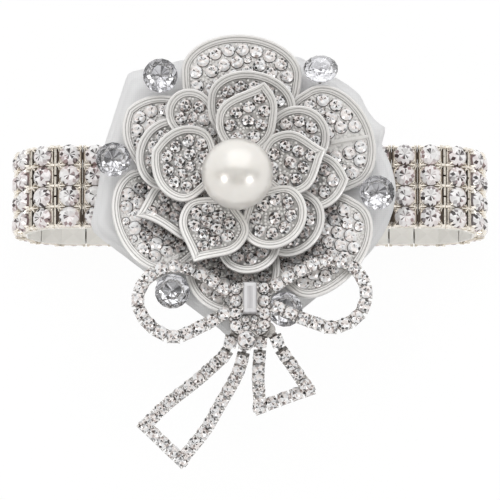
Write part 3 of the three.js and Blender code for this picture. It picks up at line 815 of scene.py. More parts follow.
def make_ribbon(corners, shrink, level, folds, phase):
    """One layer: a thin closed sheet that ripples towards its edge; also its flat size and area."""
    edge = [p + Vector((0, BAND_Y)) for p in evenly(curved_edge(corners), 120)]
    middle = sum(edge, MIDDLE) / len(edge)
    trimmed = []
    for p in edge:
        p = middle + (p - middle) * shrink
        if (p - FLOWER).length < FLANGE_CUT:
            p = FLOWER + (p - FLOWER).normalized() * FLANGE_CUT
        trimmed.append(p)
    area = 0.0
    for p, q in zip(trimmed, trimmed[1:] + trimmed[:1]):
        area += (p - middle).cross(q - middle) / 2

    def ripple(k, t):
        angle = 2 * math.pi * k / len(trimmed)
        return 0.16 * t * t * math.sin(folds * angle + phase) + 0.05 * math.sin(9 * t + 2 * angle)

    sheet = Shape()
    turn = 1 if area > 0 else -1
    rims = []
    for sign in (1, -1):
        loops = []
        for r in range(RIBBON_RINGS, 0, -1):
            t = r / RIBBON_RINGS
            rise = sign * (0.5 if r == RIBBON_RINGS else 1.0) * RIBBON_THICKNESS / 2
            loops.append([sheet.point((*(middle + (p - middle) * t), level + ripple(k, t) + rise))
                          for k, p in enumerate(trimmed)])
        centre = sheet.point((*middle, level + sign * RIBBON_THICKNESS / 2))
        way = sign * turn
        for pair in zip(loops, loops[1:]):
            sheet.join(*pair[::way], smooth=True)
        sheet.fan(loops[-1][::way], centre, smooth=True)
        rims.append(loops[0])
    sheet.join(*rims[::-turn], smooth=True)
    span = [max(p[i] for p in trimmed) - min(p[i] for p in trimmed) for i in (0, 1)]
    return sheet, span, abs(area)


for side_name, corners in (("left", LEFT_RIBBON), ("right", RIGHT_RIBBON)):
    for layer, *sizes in RIBBON_LAYERS:
        sheet, span, area = make_ribbon(corners, *sizes)
        piece = set_piece(
            f"ribbon_{side_name}_{layer}", sheet, [sheer_ribbon], f"ribbon_{side_name}")
        [s * MM for s in span]
        area * MM * MM

# The petals: three tiers cast in silver-plated metal. Each petal has a rim of fine ridges and
# a sunk, grained field with rows of small cut stones held by raised beads.
OUTER_LEVEL = 23.12
TIER_PITCH = 2.4
PETAL_HEEL = 2.6
PETAL_BOTTOM = 0.25
FIELD_HEIGHT = 1.2
FIELD_INSETS = (2.4, 4.0, 6.0)
RIM_WIDTH = 1.4
PETAL_TWIST = 0.065
PAVE_DIAMETERS = (2.2, 1.75, 1.3)
PAVE_GAP = 0.06
# The width of the dark ring round each pavé stone, a painted shadow of the setting
PAVE_SHADOW_RING = 0.12
BEAD_RADIUS = 0.27
BEAD_PITCH = 0.55
HUB_RADIUS = 4
HUB_CHAMFER = 0.2
BORE_RADIUS = 1.5
# Across the rim, from the outside in: distance from the edge, height and tone; the tone is painted shade
# in the grooves and on the inner wall, and painted light on the crests
RIM_PROFILE_AND_SHADE = [
    (0.0, 1.3, 0.76), (0.1, 1.43, 0.9), (0.2, 1.5, 1.04), (0.48, 1.5, 1.04), (0.55, 1.43, 0.7),
    (0.61, 1.43, 0.58), (0.68, 1.5, 0.84), (0.96, 1.5, 1.04), (1.02, 1.44, 0.72), (1.08, 1.44, 0.62),
    (1.14, 1.48, 0.8), (1.3, 1.46, 0.97), (1.35, 1.32, 0.45), (1.4, 1.22, 0.4),
]
# Painted sparkle for the pavé stones, a list of facet tones for each tier: the stones nearer the middle
# mirror the petals round them and are painted darker, a painted reflection; the last tones are painted
# shade, for stones on the near side of a higher tier's petals, which keep the panel's light off them
PAVE_SPARKLE_TONES = [
    (1.0, 1.0, 1.0, 1.0, 0.96, 0.84, 0.5, 0.06), (1.0, 1.0, 0.92, 0.78, 0.52, 0.32, 0.1, 0.03),
    (1.0, 0.98, 0.85, 0.66, 0.38, 0.16, 0.05, 0.02), (0.85, 0.7, 0.6, 0.5, 0.35, 0.2, 0.06, 0.02)]
# The field's tone on each tier: painted lighter on the outer tier and darker on the inner ones, as
# painted light and shade
FIELD_SHADE_TONES = (1.16, 0.88, 0.74)
SHADE_REACH = 2.6
SHADED_FIELD = 0.62
# A tier's number, how much it is cupped, and its petals: the way they point, their length,
# breadth and widest place, and what makes some of them uneven
TIERS = {
    "petals_outer": (0, 0.003, [
        dict(aim=88, reach=25.9, breadth=20.5, belly=19.2),
        dict(aim=27, reach=24.8, breadth=18.6, belly=18.4, rib=((17.4, -0.7), (23.5, -2.65))),
        dict(aim=-35.5, reach=24.8, breadth=19, belly=18.8, lean=0.8),
        dict(aim=-93, reach=22.2, breadth=16, belly=14.5),
        dict(aim=203, reach=22, breadth=19, belly=15.5),
        dict(aim=145, reach=22.9, breadth=14.2, belly=14, point=0.15),
    ]),
    "petals_middle": (1, 0.006, [
        dict(aim=80, reach=19.2, breadth=15, belly=13.8),
        dict(aim=37, reach=18.2, breadth=11, belly=12.4),
        dict(aim=1, reach=18.7, breadth=10, belly=12.6, point=0.3),
        dict(aim=-37, reach=16.7, breadth=12, belly=11.6),
        dict(aim=-80, reach=15.8, breadth=10.4, belly=11.2),
        dict(aim=206, reach=18, breadth=12, belly=9.6, point=1.2, lean=-2.2),
        dict(aim=157, reach=18, breadth=12.8, belly=12.6),
        dict(aim=124, reach=18.5, breadth=8.4, belly=14.2),
    ]),
    "petals_inner": (2, 0.012, [
        dict(aim=162, reach=15.1, breadth=13.3, belly=8.6, point=0.2),
        dict(aim=82, reach=16.8, breadth=10.2, belly=10, point=0.65, lean=-2.2),
        dict(aim=18, reach=15.6, breadth=11, belly=8.8, point=0.8),
        dict(aim=-46, reach=14.1, breadth=11.9, belly=8.4),
        dict(aim=243, reach=16.1, breadth=12, belly=8.2, point=0.9),
    ]),
}

satin_silver, wires, sockets = plated(
    "satin_silver", {"Metallic": 0.45}, (0.86, 0.28, 2600),
    ((0.0, (0.03, 0.028, 0.026)), (0.5, (0.38, 0.37, 0.36)), (1.0, (0.9, 0.885, 0.87))),
    (0.28, 0.2, 1500))
bump(wires, grain(wires, 2400, 4.0), 0.2, 0.00005).into(sockets["Normal"])

grained_silver, wires, sockets = new_finish("grained_silver", {"Metallic": 0.3})
# The grain's pits give a real bump and roughness, and the colour is darkened in them as painted shade
pits_and_shade = wires.node(
    "ShaderNodeTexVoronoi", {"feature": "F1"}, {"Vector": own_place(wires), "Scale": 2000.0})
(tone_of(wires) * (1.08 - 0.5 * pits_and_shade)).ramp(
    (0.0, (0.03, 0.03, 0.028)), (0.6, (0.45, 0.44, 0.43)), (1.0, (0.92, 0.905, 0.89))).into(
    sockets["Base Color"])
(0.25 + 0.35 * pits_and_shade).into(sockets["Roughness"])
bump(wires, 1 - pits_and_shade, 0.4, 0.00008).into(sockets["Normal"])

pave_stone = foiled(
    "pave_stone", 0.12,
    ((0.0, 0.012), (0.45, (0.35, 0.35, 0.36)), (1.0, (0.96, 0.96, 0.97))),
    ((0.0, (0.02, 0.014, 0.012)), (0.45, (0.41, 0.34, 0.32)), (1.0, (0.97, 0.92, 0.9))),
    1500, (0.46, 0.56))
PETAL_FINISHES = [satin_silver, grained_silver, pave_stone]
FIELD, PAVE = 1, 2


def bezier(steps, *handles):
    a, b, c, d = (Vector(h) for h in handles)
    points = []
    for k in range(steps):
        t = k / steps
        s = 1 - t
        points.append(s ** 3 * a + 3 * s * s * t * b + 3 * s * t * t * c + t ** 3 * d)
    return points


class Petal:
    """A petal that points along X before it is turned to its aim."""

    def __init__(self, aim, reach, breadth, belly, point=0.0, lean=0.0, rib=None):
        half = breadth / 2
        flank = belly - PETAL_HEEL
        over = reach - belly
        heel = (PETAL_HEEL, 0)
        tip = (reach, lean)
        sides = []
        for side in (-1, 1):
            sides.append((
                (PETAL_HEEL + 0.35 * flank, side * 0.3 * half),
                (belly - 0.55 * flank, side * half),
                (belly, side * half),
                (belly + 0.55 * over, side * half),
                (reach - 0.5 * point * over, lean + side * 0.55 * half)))
        right, left = sides
        edge = bezier(10, heel, right[0], right[1], right[2])
        edge += bezier(16, right[2], right[3], right[4], tip)
        edge += bezier(16, tip, left[4], left[3], left[2])
        edge += bezier(10, left[2], left[1], left[0], heel)
        self.edge = evenly(edge, 112)
        self.heart = Vector((0.85 * belly, 0.85 * lean / 3))
        self.turn = math.radians(aim)
        self.rib = [Vector(end) for end in rib] if rib else None
        self.reach = reach
        self.half = half
        self.ways = []
        count = len(self.edge)
        for k, p in enumerate(self.edge):
            along = (self.edge[(k + 1) % count] - self.edge[k - 1]).normalized()
            inwards = Vector((-along.y, along.x))
            way = (self.heart - p).normalized()
            self.ways.append(way / max(way.dot(inwards), 0.5))

    def inset(self, depth):
        """The edge moved inwards, towards the heart, so that the lines never cross."""
        line = []
        for p, way in zip(self.edge, self.ways):
            step = way * depth
            most = 0.9 * (self.heart - p).length
            if step.length > most:
                step = step.normalized() * most
            line.append(p + step)
        return line

    def to_flower(self, p):
        return Matrix.Rotation(self.turn, 2) @ p

    def from_flower(self, p):
        return Matrix.Rotation(-self.turn, 2) @ p

    def lift(self, p, cup):
        return cup * p.length_squared + PETAL_TWIST * p.y


def inside(p, loop):
    """Whether a point lies within a closed loop."""
    found = False
    for a, b in zip(loop, loop[1:] + loop[:1]):
        if (a.y > p.y) != (b.y > p.y) and p.x < (b.x - a.x) * (p.y - a.y) / (b.y - a.y) + a.x:
            found = not found
    return found


def in_shade(q, above):
    """Whether a petal of a higher tier lies just beyond a point of the flower, or over it."""
    beyond = q + Vector((0, SHADE_REACH))
    return any(inside(other.from_flower(beyond), other.edge) for other in above)


def petal_shell(petal, above, level, cup, field_tone):
    """A petal's underside, rim and field, with painted shade on the underside, in the rim's grooves and
    on its walls, and the field painted darker where a higher petal shades it.
    """
    shell = Shape()

    def loop(line, height):
        return [shell.point((*petal.to_flower(p), level + petal.lift(p, cup) + height)) for p in line]

    under = loop([petal.heart], PETAL_BOTTOM)[0]
    rim_foot = loop(petal.inset(0.12), PETAL_BOTTOM)
    # The underside and the outer wall of the edge are painted darker, as painted shade.
    shell.fan(rim_foot[::-1], under, 0.6)
    last = loop(petal.edge, PETAL_BOTTOM + 0.15)
    shell.join(rim_foot, last, 0.5, smooth=True)
    for depth, height, tone in RIM_PROFILE_AND_SHADE:
        ring = loop(petal.inset(depth), height)
        shell.join(last, ring, tone)
        last = ring
    for depth in FIELD_INSETS:
        ring = loop(petal.inset(depth), FIELD_HEIGHT)
        shell.join(last, ring, field_tone, FIELD, True)
        last = ring
    shell.fan(last, loop([petal.heart], FIELD_HEIGHT)[0], field_tone, FIELD, True)
    for k, (corners, tone, finish, smooth) in enumerate(shell.faces):
        middle = sum((shell.points[c] for c in corners), Vector((0, 0, 0))) / len(corners)
        if finish == FIELD and in_shade(middle.xy, above):
            shell.faces[k] = (corners, tone * SHADED_FIELD, finish, smooth)
    return shell


pave_stones = []
for tones in PAVE_SPARKLE_TONES:
    cuts = {}
    for diameter in PAVE_DIAMETERS:
        cuts[diameter] = [
            brilliant(diameter, 0.12 * diameter, 0.4, tones, PAVE_SHADOW_RING, PAVE) for _ in range(10)]
    pave_stones.append(cuts)
bead_points = []
for slope in (0.0, 0.7):
    for k in range(8):
        around = math.pi * k / 4
        bead_points.append((
            BEAD_RADIUS * math.cos(around) * math.cos(slope),
            BEAD_RADIUS * math.sin(around) * math.cos(slope), BEAD_RADIUS * math.sin(slope)))
bead_points += [(0, 0, BEAD_RADIUS), (0.2, 0, -0.25), (-0.1, 0.17, -0.25), (-0.1, -0.17, -0.25)]
bead = convex(bead_points, smooth=True)


def from_tip(line, count):
    """Places on a closed line in order of their distance from its outermost point."""
    far = max(range(len(line)), key=lambda k: line[k].length)
    spots = evenly(line[far:] + line[:far], count)
    return [spots[k] for k in sorted(range(count), key=lambda k: min(k, count - k))]


def rib_distance(petal, p):
    """How far a point is from the petal's rib, if it has one."""
    if not petal.rib:
        return math.inf
    start, end = petal.rib
    way = end - start
    share = min(1.0, max(0.0, (p - start).dot(way) / way.length_squared))
    return (p - start - share * way).length


def pave_places(petal, free):
    """Where a petal's stones sit and their sizes: in rows along the rim or in the honeycomb that
    holds more, with smaller ones in the room that is left."""

    def field_of(diameter):
        return petal.inset(RIM_WIDTH + diameter / 2 - 0.18)

    def fill(places, diameter):
        field = field_of(diameter)
        for line in range(32):
            for p in from_tip(petal.inset(RIM_WIDTH + diameter / 2 + 0.02 + 0.26 * line), 200):
                room = all((s - p).length > (diameter + other) / 2 + PAVE_GAP for s, other in places)
                if room and inside(p, field) and free(p):
                    places.append((p, diameter))
        return places

    largest = PAVE_DIAMETERS[0]
    best = fill([], largest)
    field = field_of(largest)
    for turn in range(3):
        angle = math.radians(20 * turn)
        first = (largest + PAVE_GAP) * Vector((math.cos(angle), math.sin(angle)))
        second = Matrix.Rotation(math.pi / 3, 2) @ first
        for shift in range(4):
            start = petal.heart + (shift % 2) / 2 * first + (shift // 2) / 2 * second
            comb = []
            for i in range(-9, 10):
                for j in range(-9, 10):
                    p = start + i * first + j * second
                    near = 0 < p.x < petal.reach and abs(p.y) < petal.half
                    if near and inside(p, field) and free(p):
                        comb.append((p, largest))
            if len(comb) > len(best):
                best = comb
    for diameter in PAVE_DIAMETERS:
        best = fill(best, diameter)
    return best


def dress_petal(shape, petal, mates, above, level, cup, stones):
    """Sets the stones and beads of a petal where no other petal hides them."""
    covers = [(other, other.inset(1.5)) for other in above]
    neighbours = [(other, other.inset(-0.6)) for other in mates]

    def free(p):
        q = petal.to_flower(p)
        for other, line in covers:
            if inside(other.from_flower(q), line):
                return False
        for other, line in neighbours:
            r = other.from_flower(q)
            if other.lift(r, cup) > petal.lift(p, cup) and inside(r, line):
                return False
        return q.length > 5.4 and rib_distance(petal, p) > PAVE_DIAMETERS[0] / 2 + 0.3

    def on_field(p, height):
        return (*petal.to_flower(p), level + petal.lift(p, cup) + FIELD_HEIGHT + height)

    def put(thing, p, height):
        turn = Matrix.Rotation(dice.uniform(0, math.pi), 4, "Z")
        shape.add(thing, Matrix.Translation(on_field(p, height)) @ turn)

    spots = pave_places(petal, free)
    for p, diameter in spots:
        cuts = pave_stones[-1] if in_shade(petal.to_flower(p), above) else stones
        put(dice.choice(cuts[diameter]), p, 0.1)
    grains = []
    for line in range(11):
        for p in from_tip(petal.inset(RIM_WIDTH + 0.3 + 0.5 * line), 150):
            clear = all((s - p).length > diameter / 2 + 0.18 for s, diameter in spots)
            if clear and all((g - p).length > BEAD_PITCH for g in grains) and free(p):
                grains.append(p)
    for p in grains:
        put(bead, p, 0.0)
    if petal.rib:
        across = (petal.rib[1] - petal.rib[0]).normalized().orthogonal() * 0.45
        shape.add(convex([
            on_field(end + side * across, rise) for end in petal.rib
            for side, rise in ((1, -0.1), (-1, -0.1), (0.5, 0.45), (-0.5, 0.45))]))


def hub(low, high):
    """The ring in the middle of a tier, which sits on the post."""
    ring = Shape()
    inner = HUB_RADIUS - HUB_CHAMFER
    loops = [ring.ring(r, z, 32) for r, z in (
        (BORE_RADIUS, low), (inner, low), (HUB_RADIUS, low + HUB_CHAMFER),
        (HUB_RADIUS, high - HUB_CHAMFER), (inner, high), (BORE_RADIUS, high))]
    for first, second in zip(loops, loops[1:] + loops[:1]):
        ring.join(first, second, 0.8)
    return ring


flower_petals = {name: [Petal(**sizes) for sizes in tier[2]] for name, tier in TIERS.items()}
flower_place = Matrix.Translation((*FLOWER, 0))
for tier_name, (number, cup, _) in TIERS.items():
    level = OUTER_LEVEL + number * TIER_PITCH
    tier = Shape()
    tier.add(hub(level, level + (TIER_PITCH - 0.3 if number < 2 else FIELD_HEIGHT)))
    petals = flower_petals[tier_name]
    above = [p for name in list(TIERS)[number + 1:] for p in flower_petals[name]]
    for petal in petals:
        tier.add(petal_shell(petal, above, level, cup, FIELD_SHADE_TONES[number]))
        mates = [p for p in petals if p is not petal]
        dress_petal(tier, petal, mates, above, level, cup, pave_stones[number])
    set_piece(f"{tier_name}_set", tier, PETAL_FINISHES, tier_name, flower_place)

# The post: a turned peg with a flange on the keeper plate. It goes up through the tiers and
# is hidden by them, so the solid itself stays, in the flower's own plating.
turned_silver, wires, sockets = new_finish("turned_silver", {"Metallic": 0.45})
grain(wires, 2600).ramp((0.3, (0.7, 0.69, 0.68)), (0.7, (0.86, 0.85, 0.84))).into(sockets["Base Color"])
cloudy(wires, 0.28, 0.2, 1500).into(sockets["Roughness"])
post = frame["nodes"]["centre_post"]
post.data.materials.clear()
post.data.materials.append(turned_silver)

# The pearl: a half-drilled bead with a cream nacre, pressed on the peg and seated in the
# middle of the inner petals.
PEARL_RADIUS = 6
PEARL_SEAT = 29.42
PEARL_BORE = 5
PEARL_RINGS = 40
cream_pearl, wires, sockets = new_finish("cream_pearl", {
    "Metallic": 0.36, "Roughness": 0.3, "Coat Roughness": 0.13, "Specular IOR Level": 0.5,
    "Subsurface Weight": 0.12, "Subsurface Radius": (0.0012, 0.001, 0.0008)})
nacre = grain(wires, 180, 3.0)
nacre.ramp((0.3, (0.86, 0.83, 0.78)), (0.7, (0.9, 0.875, 0.835))).into(sockets["Base Color"])
(0.75 + 0.2 * nacre).into(sockets["Coat Weight"])
bump(wires, grain(wires, 900), 0.04, 0.00003).into(sockets["Normal"])

pearl = Shape()
bore_angle = math.asin(BORE_RADIUS / PEARL_RADIUS)
bore_end = pearl.ring(BORE_RADIUS, PEARL_SEAT + PEARL_BORE, 64)
loops = []
for k in range(PEARL_RINGS):
    angle = bore_angle + (math.pi - bore_angle) * k / PEARL_RINGS
    loops.append(pearl.ring(
        PEARL_RADIUS * math.sin(angle), PEARL_SEAT + PEARL_RADIUS * (1 - math.cos(angle)), 64))
pearl.fan(bore_end, pearl.point((0, 0, PEARL_SEAT + PEARL_BORE)))
pearl.join(loops[0], bore_end)
pearl.flip()
for first, second in zip(loops, loops[1:]):
    pearl.join(first, second, smooth=True)
pearl.fan(loops[-1], pearl.point((0, 0, PEARL_SEAT + 2 * PEARL_RADIUS)), smooth=True)
set_piece("pearl_bead", pearl, [cream_pearl], "pearl", flower_place)

# The gems: larger round cut crystals on short metal pins, pushed into the ribbon between
# the petals; the one at the upper right stands askew.
GEM_RADIUS = 2.95
GEM_CROWN = 0.9
GEM_BELT = -0.2
GEM_WAIST = -0.95
GEM_PAVILION = 2.0
GEM_FOOT = 23.12
PIN_RADIUS = 0.4
# Painted sparkle: light and dark facet tones that stand for the gems' reflections; the askew gem, seen
# from the side, has only pale ones, painted light
GEM_SPARKLE_TONES = (1.0, 1.0, 1.0, 0.95, 0.88, 0.68, 0.4, 0.12)
ASKEW_LIT_TONES = (1.0, 1.0, 1.0, 1.0, 1.0, 1.0, 1.0, 0.9)
# Place, length of the pin and tilt
GEMS = [
    ("gem_pin_top_left", -15.2, 17.7, 1.6, 0),
    ("gem_pin_top_right", 12, 17.3, 1.6, -28),
    ("gem_pin_left", -23.1, 3.2, 1.6, 0),
    ("gem_pin_right", 21.5, -2.5, 1.6, 0),
    ("gem_pin_lower_left", -13.1, -19.2, 0.3, 0),
    ("gem_pin_lower_right", 5.9, -22.3, 0.3, 0),
]
clear_crystal, wires, sockets = new_finish(
    "clear_crystal", {"Transmission Weight": 1.0, "IOR": 1.62, "Roughness": 0.0})
(tone_of(wires) * cloudy(wires, 0.9, 0.2, 600)).ramp(
    (0.0, (0.01, 0.01, 0.012)), (0.5, (0.34, 0.34, 0.36)), (1.0, (0.88, 0.88, 0.91))).into(
    sockets["Base Color"])
PIN = 1


def make_gem(pin, tones):
    """A crystal cut above and below its girdle, and the pin that it is set on."""
    stone = Shape()
    girdle = cut_crown(stone, GEM_RADIUS, GEM_CROWN, tones, 0)
    belt = stone.ring(GEM_RADIUS, GEM_BELT, 16)
    waist = stone.ring(0.62 * GEM_RADIUS, GEM_WAIST, 8, 0.5)
    culet = stone.ring(PIN_RADIUS, -GEM_PAVILION, 8)
    stone.join(belt, girdle, 0.5)
    for k in range(8):
        n = (k + 1) % 8
        for corners in (
                (waist[k], belt[2 * k + 1], belt[2 * k]), (waist[k], belt[2 * n], belt[2 * k + 1]),
                (waist[k - 1], waist[k], belt[2 * k]), (culet[k], waist[k], waist[k - 1]),
                (culet[k], culet[n], waist[k])):
            stone.face(corners, dice.choice(tones))
    stone.face(culet[::-1], 0.5)
    gem = Shape()
    gem.add(stone, Matrix.Translation((0, 0, pin + GEM_PAVILION + 0.02)))
    foot = gem.ring(PIN_RADIUS, 0, 12)
    neck = gem.ring(PIN_RADIUS, pin, 12)
    gem.face(foot[::-1], 0.7, PIN)
    gem.join(foot, neck, 0.8, PIN, True)
    gem.face(neck, 0.8, PIN)
    return gem


for node, x, y, pin, tilt in GEMS:
    lean = Matrix.Rotation(math.radians(tilt), 4, "X") @ Matrix.Rotation(dice.uniform(0, 0.8), 4, "Z")
    gem = make_gem(pin, ASKEW_LIT_TONES if tilt else GEM_SPARKLE_TONES)
    set_piece(f"{node}_cut", gem, [clear_crystal, satin_silver], node,
              Matrix.Translation((x, y + BAND_Y, GEM_FOOT)) @ lean)

# The bow's chain: small plated cups with a cut stone each, linked by narrow necks. Two runs
# are bent into loops; the two tails are closed by a cross piece and swing under the knot.
CHAIN_PITCH = 2.35
CHAIN_CUP = 2.1
CHAIN_DEPTH = 1.2
CHAIN_STONE_LEVEL = 1.5
# Painted sparkle: light and dark facet tones that stand for the reflections in the chain's stones
CHAIN_SPARKLE_TONES = (1.0, 1.0, 1.0, 0.9, 0.75, 0.5, 0.22, 0.05)
LOOP_CUP_LENGTH = 2.16
TAIL_CUP_LENGTH = 1.86
TAB_RADIUS = 1.4
BOW_LEVEL = 26.93
TAIL_LEVEL = 24.63
TAIL_DROP = 18
TAIL_FALL = 15
TAIL_FLAT = 2.2
LEFT_LOOP = [
    (-3.4, -20), (-8.4, -16.6), (-13.2, -15.4), (-17.4, -17.6), (-18.8, -21.4),
    (-17, -25.1), (-12.9, -27.3), (-8.2, -25.6), (-3.4, -22.9),
]
RIGHT_LOOP = [
    (3.5, -19.2), (8.6, -16), (13.4, -14.4), (17.3, -15.6), (19.4, -19.2),
    (18.4, -23.4), (14.2, -25.7), (9.8, -24.6), (3.6, -22),
]
# A tail's pivot, the run that goes out and the run that comes back
LEFT_TAIL = (
    (-1.9, -26),
    [(-3, -26.3), (-3.6, -28.8), (-7.3, -32.1), (-14.5, -37.2), (-17.9, -40.3)],
    [(-11.7, -46.2), (-7.5, -41.2), (-5.3, -37.7), (-2, -32.3), (-0.9, -28.6), (-0.7, -26.7)],
)
RIGHT_TAIL = (
    (2.9, -25.8),
    [(1.9, -26.4), (1.7, -28.6), (1.4, -33.2), (1.7, -37.8)],
    [(9.9, -34.8), (7.1, -31.2), (4.9, -28.4), (4, -26.2)],
)

bright_cup, _, _ = plated(
    "bright_cup", {"Metallic": 1.0}, (0.9, 0.2, 1200),
    ((0.0, (0.03, 0.028, 0.026)), (0.5, (0.4, 0.38, 0.36)), (1.0, (0.88, 0.86, 0.84))),
    (0.12, 0.16, 2000))
CHAIN_FINISHES = [bright_cup, pave_stone]


def smooth_run(points, height_at):
    """A smooth line through the points, as many short straight pieces."""
    flat = [Vector((x, y, height_at(x, y))) for x, y in points]
    ends = [2 * flat[0] - flat[1], *flat, 2 * flat[-1] - flat[-2]]
    line = []
    for i in range(len(flat) - 1):
        p = ends[i:i + 4]
        gaps = [max((b - a).length, 1e-6) ** 0.5 for a, b in zip(p, p[1:])]
        lead = ((p[1] - p[0]) / gaps[0] - (p[2] - p[0]) / (gaps[0] + gaps[1])
                + (p[2] - p[1]) / gaps[1]) * gaps[1]
        trail = ((p[2] - p[1]) / gaps[1] - (p[3] - p[1]) / (gaps[1] + gaps[2])
                 + (p[3] - p[2]) / gaps[2]) * gaps[1]
        for k in range(40):
            t = k / 40
            line.append(
                (2 * t ** 3 - 3 * t ** 2 + 1) * p[1] + (t ** 3 - 2 * t ** 2 + t) * lead
                + (3 * t ** 2 - 2 * t ** 3) * p[2] + (t ** 3 - t ** 2) * trail)
    return line + [flat[-1]]


def chain_links(points, height_at):
    """A matrix for each cup of a run: X along the run, +Z out of the stone's face."""
    line = smooth_run(points, height_at)
    length = sum((b - a).length for a, b in zip(line, line[1:]))
    count = round(length / CHAIN_PITCH)
    marks = evenly(line, 2 * count + 1, closed=False)
    links = []
    for k in range(1, 2 * count, 2):
        ahead = (marks[k + 1] - marks[k - 1]).normalized()
        side = Vector((0, 0, 1)).cross(ahead).normalized()
        up = ahead.cross(side)
        place = Matrix((ahead, side, up)).transposed().to_4x4()
        place.translation = (*marks[k].xy, height_at(*marks[k].xy))
        links.append((place, length / count / 2))
    return links


chain_stones = [brilliant(2.25, 0.38, 0.4, CHAIN_SPARKLE_TONES, finish=STONE) for _ in range(12)]


def chain_cup(length, half_step):
    """One cup with its claws, and the half necks that reach to its neighbours."""
    cup = Shape()
    x = length / 2
    y = CHAIN_CUP / 2
    cup.add(convex(
        [(sx * x * s, sy * y * s, z) for sx in (-1, 1) for sy in (-1, 1)
         for s, z in ((0.78, 0.05), (1.0, 0.4), (1.0, CHAIN_DEPTH))], 0.7))
    claw = (
        (x, y, 0.5), (x - 0.42, y, 0.5), (x, y - 0.42, 0.5), (x, y, 1.5),
        (x - 0.3, y - 0.08, 1.5), (x - 0.08, y - 0.3, 1.5), (x - 0.34, y - 0.34, 1.72))
    for sx in (-1, 1):
        for sy in (-1, 1):
            cup.add(convex(flipped(claw, sx, sy)))
        neck = [(sx * a, b, z) for a in (x - 0.2, half_step + 0.05) for b in (-0.4, 0.4)
                for z in (0.35, 0.85)]
        cup.add(convex(neck, 0.75))
    return cup


def round_edge(radius, middle):
    angles = [math.pi * k / 12 for k in range(24)]
    return [middle + radius * Vector((math.cos(a), math.sin(a))) for a in angles]


def make_chain(runs, cup_length, pivot):
    """The cups of some runs, and the tab at a tail's pivot."""
    chain = Shape()
    if pivot:
        middle = Vector(pivot)
        chain.add(stamped_plate(
            round_edge(TAB_RADIUS, middle), TAIL_LEVEL + 0.35, TAIL_LEVEL + 0.85, 0.1, middle, 0.75))
    for points, height_at in runs:
        for place, half_step in chain_links(points, height_at):
            chain.add(chain_cup(cup_length, half_step), place)
            turn = Matrix.Rotation(dice.uniform(0, math.pi), 4, "Z")
            raised = place @ Matrix.Translation((0, 0, CHAIN_STONE_LEVEL))
            chain.add(dice.choice(chain_stones), raised @ turn)
    return chain


def tail_runs(pivot, out, back):
    """The two long runs of a tail and the cross piece, which takes the corner stones."""

    def height(x, y):
        beyond = max(0.0, math.hypot(x - pivot[0], y - pivot[1]) - TAIL_FLAT)
        return TAIL_LEVEL - TAIL_DROP * (1 - math.exp(-beyond / TAIL_FALL))

    def step(start, goal, length):
        way = (Vector(goal) - Vector(start)).normalized()
        return tuple(Vector(start) + way * length)

    first, second = out[-1], back[0]
    side = CHAIN_CUP / 2 - 0.3
    cross = [step(first, second, -CHAIN_PITCH / 2), step(second, first, -CHAIN_PITCH / 2)]
    return [
        ([*out[:-1], step(first, out[-2], side)], height),
        (cross, height),
        ([step(second, back[1], side), *back[1:]], height),
    ]


def flat_bow(x, y):
    return BOW_LEVEL


for node, runs, cup_length, pivot in (
        ("bow_loop_left", [(LEFT_LOOP, flat_bow)], LOOP_CUP_LENGTH, None),
        ("bow_loop_right", [(RIGHT_LOOP, flat_bow)], LOOP_CUP_LENGTH, None),
        ("bow_tail_left", tail_runs(*LEFT_TAIL), TAIL_CUP_LENGTH, LEFT_TAIL[0]),
        ("bow_tail_right", tail_runs(*RIGHT_TAIL), TAIL_CUP_LENGTH, RIGHT_TAIL[0])):
    chain = make_chain(runs, cup_length, pivot)
    set_piece(f"{node}_chain", chain, CHAIN_FINISHES, node,
              Matrix.Translation((0, BAND_Y, 0)))

# The knot: a plate with four stones down each side, a larger stone at its foot and four
# claws that hold the baguette.
KNOT_WIDTH = 7
KNOT_LENGTH = 9
KNOT_CORNER = 2.33
KNOT_Y = -22.5 + BAND_Y
KNOT_THICKNESS = 1
KNOT_STONE_X = 2.35
KNOT_STONE_PITCH = 2.1
DROP_RADIUS = 1.6
# Smaller stones that fill the plate on both sides, by place and diameter
KNOT_FILLERS = [
    (0.72, -1.9, 1.3), (0.7, -3.2, 1.25), (1.5, -4.0, 1.0), (3.2, 2.3, 0.6), (3.2, 0.2, 0.6),
    (3.2, -1.9, 0.6), (1.25, -0.95, 0.5), (1.9, 3.75, 1.0)]
# The corners of a claw, about its own place along the knot
KNOT_CLAW = (
    (1.3, -0.4, 0.9), (1.62, -0.4, 0.9), (1.3, 0.4, 0.9), (1.62, 0.4, 0.9), (1.3, -0.3, 2.6),
    (1.55, -0.3, 2.4), (1.3, 0.3, 2.6), (1.55, 0.3, 2.4), (1.05, -0.2, 2.92), (1.05, 0.2, 2.92),
    (1.25, 0.0, 3.0))
KNOT_CLAW_PLACES = (-0.25, 3.45)

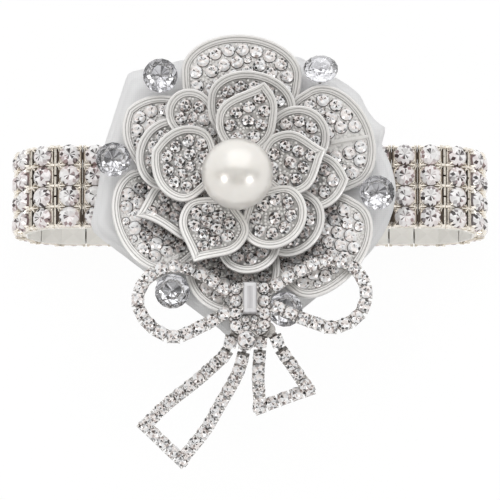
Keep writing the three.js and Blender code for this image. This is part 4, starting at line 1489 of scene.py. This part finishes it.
knot = stamped_plate(
    rounded_corners(KNOT_WIDTH, KNOT_LENGTH, KNOT_CORNER), 0, KNOT_THICKNESS, PLATE_CHAMFER, MIDDLE, 0.8)
drop_place = Matrix.Translation((-0.6, -5.3, 0))
drop_plate = stamped_plate(
    round_edge(DROP_RADIUS, MIDDLE), 0.02, KNOT_THICKNESS + 0.02, PLATE_CHAMFER, MIDDLE, 0.8)
knot.add(drop_plate, drop_place)
drop_stone = brilliant(2.9, 0.5, 0.4, CHAIN_SPARKLE_TONES, 0.12, STONE)
knot.add(drop_stone, drop_place @ Matrix.Translation((0, 0, 1.4)))
for side in (-1, 1):
    for row in range(4):
        y = 2.25 - (row - 0.5) * KNOT_STONE_PITCH
        stone = brilliant(2.0, 0.36, 0.45, CHAIN_SPARKLE_TONES, 0.08, STONE)
        knot.add(stone, Matrix.Translation((side * KNOT_STONE_X, y, 1.4)))
    for x, y, diameter in KNOT_FILLERS:
        stone = brilliant(diameter, 0.3, 0.35, CHAIN_SPARKLE_TONES, 0.08, STONE)
        knot.add(stone, Matrix.Translation((side * x, y, 1.3)))
    for y in KNOT_CLAW_PLACES:
        knot.add(convex([(side * a, y + b, z) for a, b, z in KNOT_CLAW]))
set_piece("bow_knot_plate", knot, CHAIN_FINISHES, "bow_knot",
          Matrix.Translation((0, KNOT_Y, BOW_LEVEL)))

# The baguette: a step-cut crystal backed with foil, lying along the knot between its claws; pale streaks
# in its colour are painted highlights, and its steps are painted lighter towards the top, as painted
# light.
BAGUETTE_Y = -20.9 + BAND_Y
# Half width, half length, height and tone of each step; the tones are painted light, lighter towards the
# top
BAGUETTE_STEPS = (
    (0.7, 2.2, 0.0, 0.5), (1.2, 2.7, 0.7, 0.5), (1.2, 2.7, 1.1, 0.5), (0.98, 2.48, 1.5, 0.8),
    (0.5, 1.9, 1.7, 1.15))
milky_crystal, wires, sockets = new_finish(
    "milky_crystal", {"Transmission Weight": 0.15, "IOR": 1.5, "Roughness": 0.06})
# Pale streaks across the crystal: painted highlights
(tone_of(wires) * (0.9 + 0.12 * waves(wires, "X", 330.0, 2.0))).ramp(
    (0.0, (0.06, 0.06, 0.07)), (0.6, (0.5, 0.49, 0.5)), (1.0, (0.97, 0.96, 0.98))).into(
    sockets["Base Color"])
baguette = Shape()
loops = []
for half_width, half_length, height, _ in BAGUETTE_STEPS:
    loops.append([baguette.point((sx * half_width, sy * half_length, height))
                  for sx, sy in ((-1, -1), (1, -1), (1, 1), (-1, 1))])
for first, second, (_, _, _, tone) in zip(loops, loops[1:], BAGUETTE_STEPS[1:]):
    for k in range(4):
        n = (k + 1) % 4
        baguette.face((first[k], first[n], second[n], second[k]), tone * dice.uniform(0.85, 1.1))
baguette.face(loops[0][::-1], 0.4)
baguette.face(loops[-1], 0.85)
set_piece("baguette_cut", baguette, [milky_crystal], "baguette_crystal",
          Matrix.Translation((0, BAGUETTE_Y, BOW_LEVEL + KNOT_THICKNESS + 0.3)))
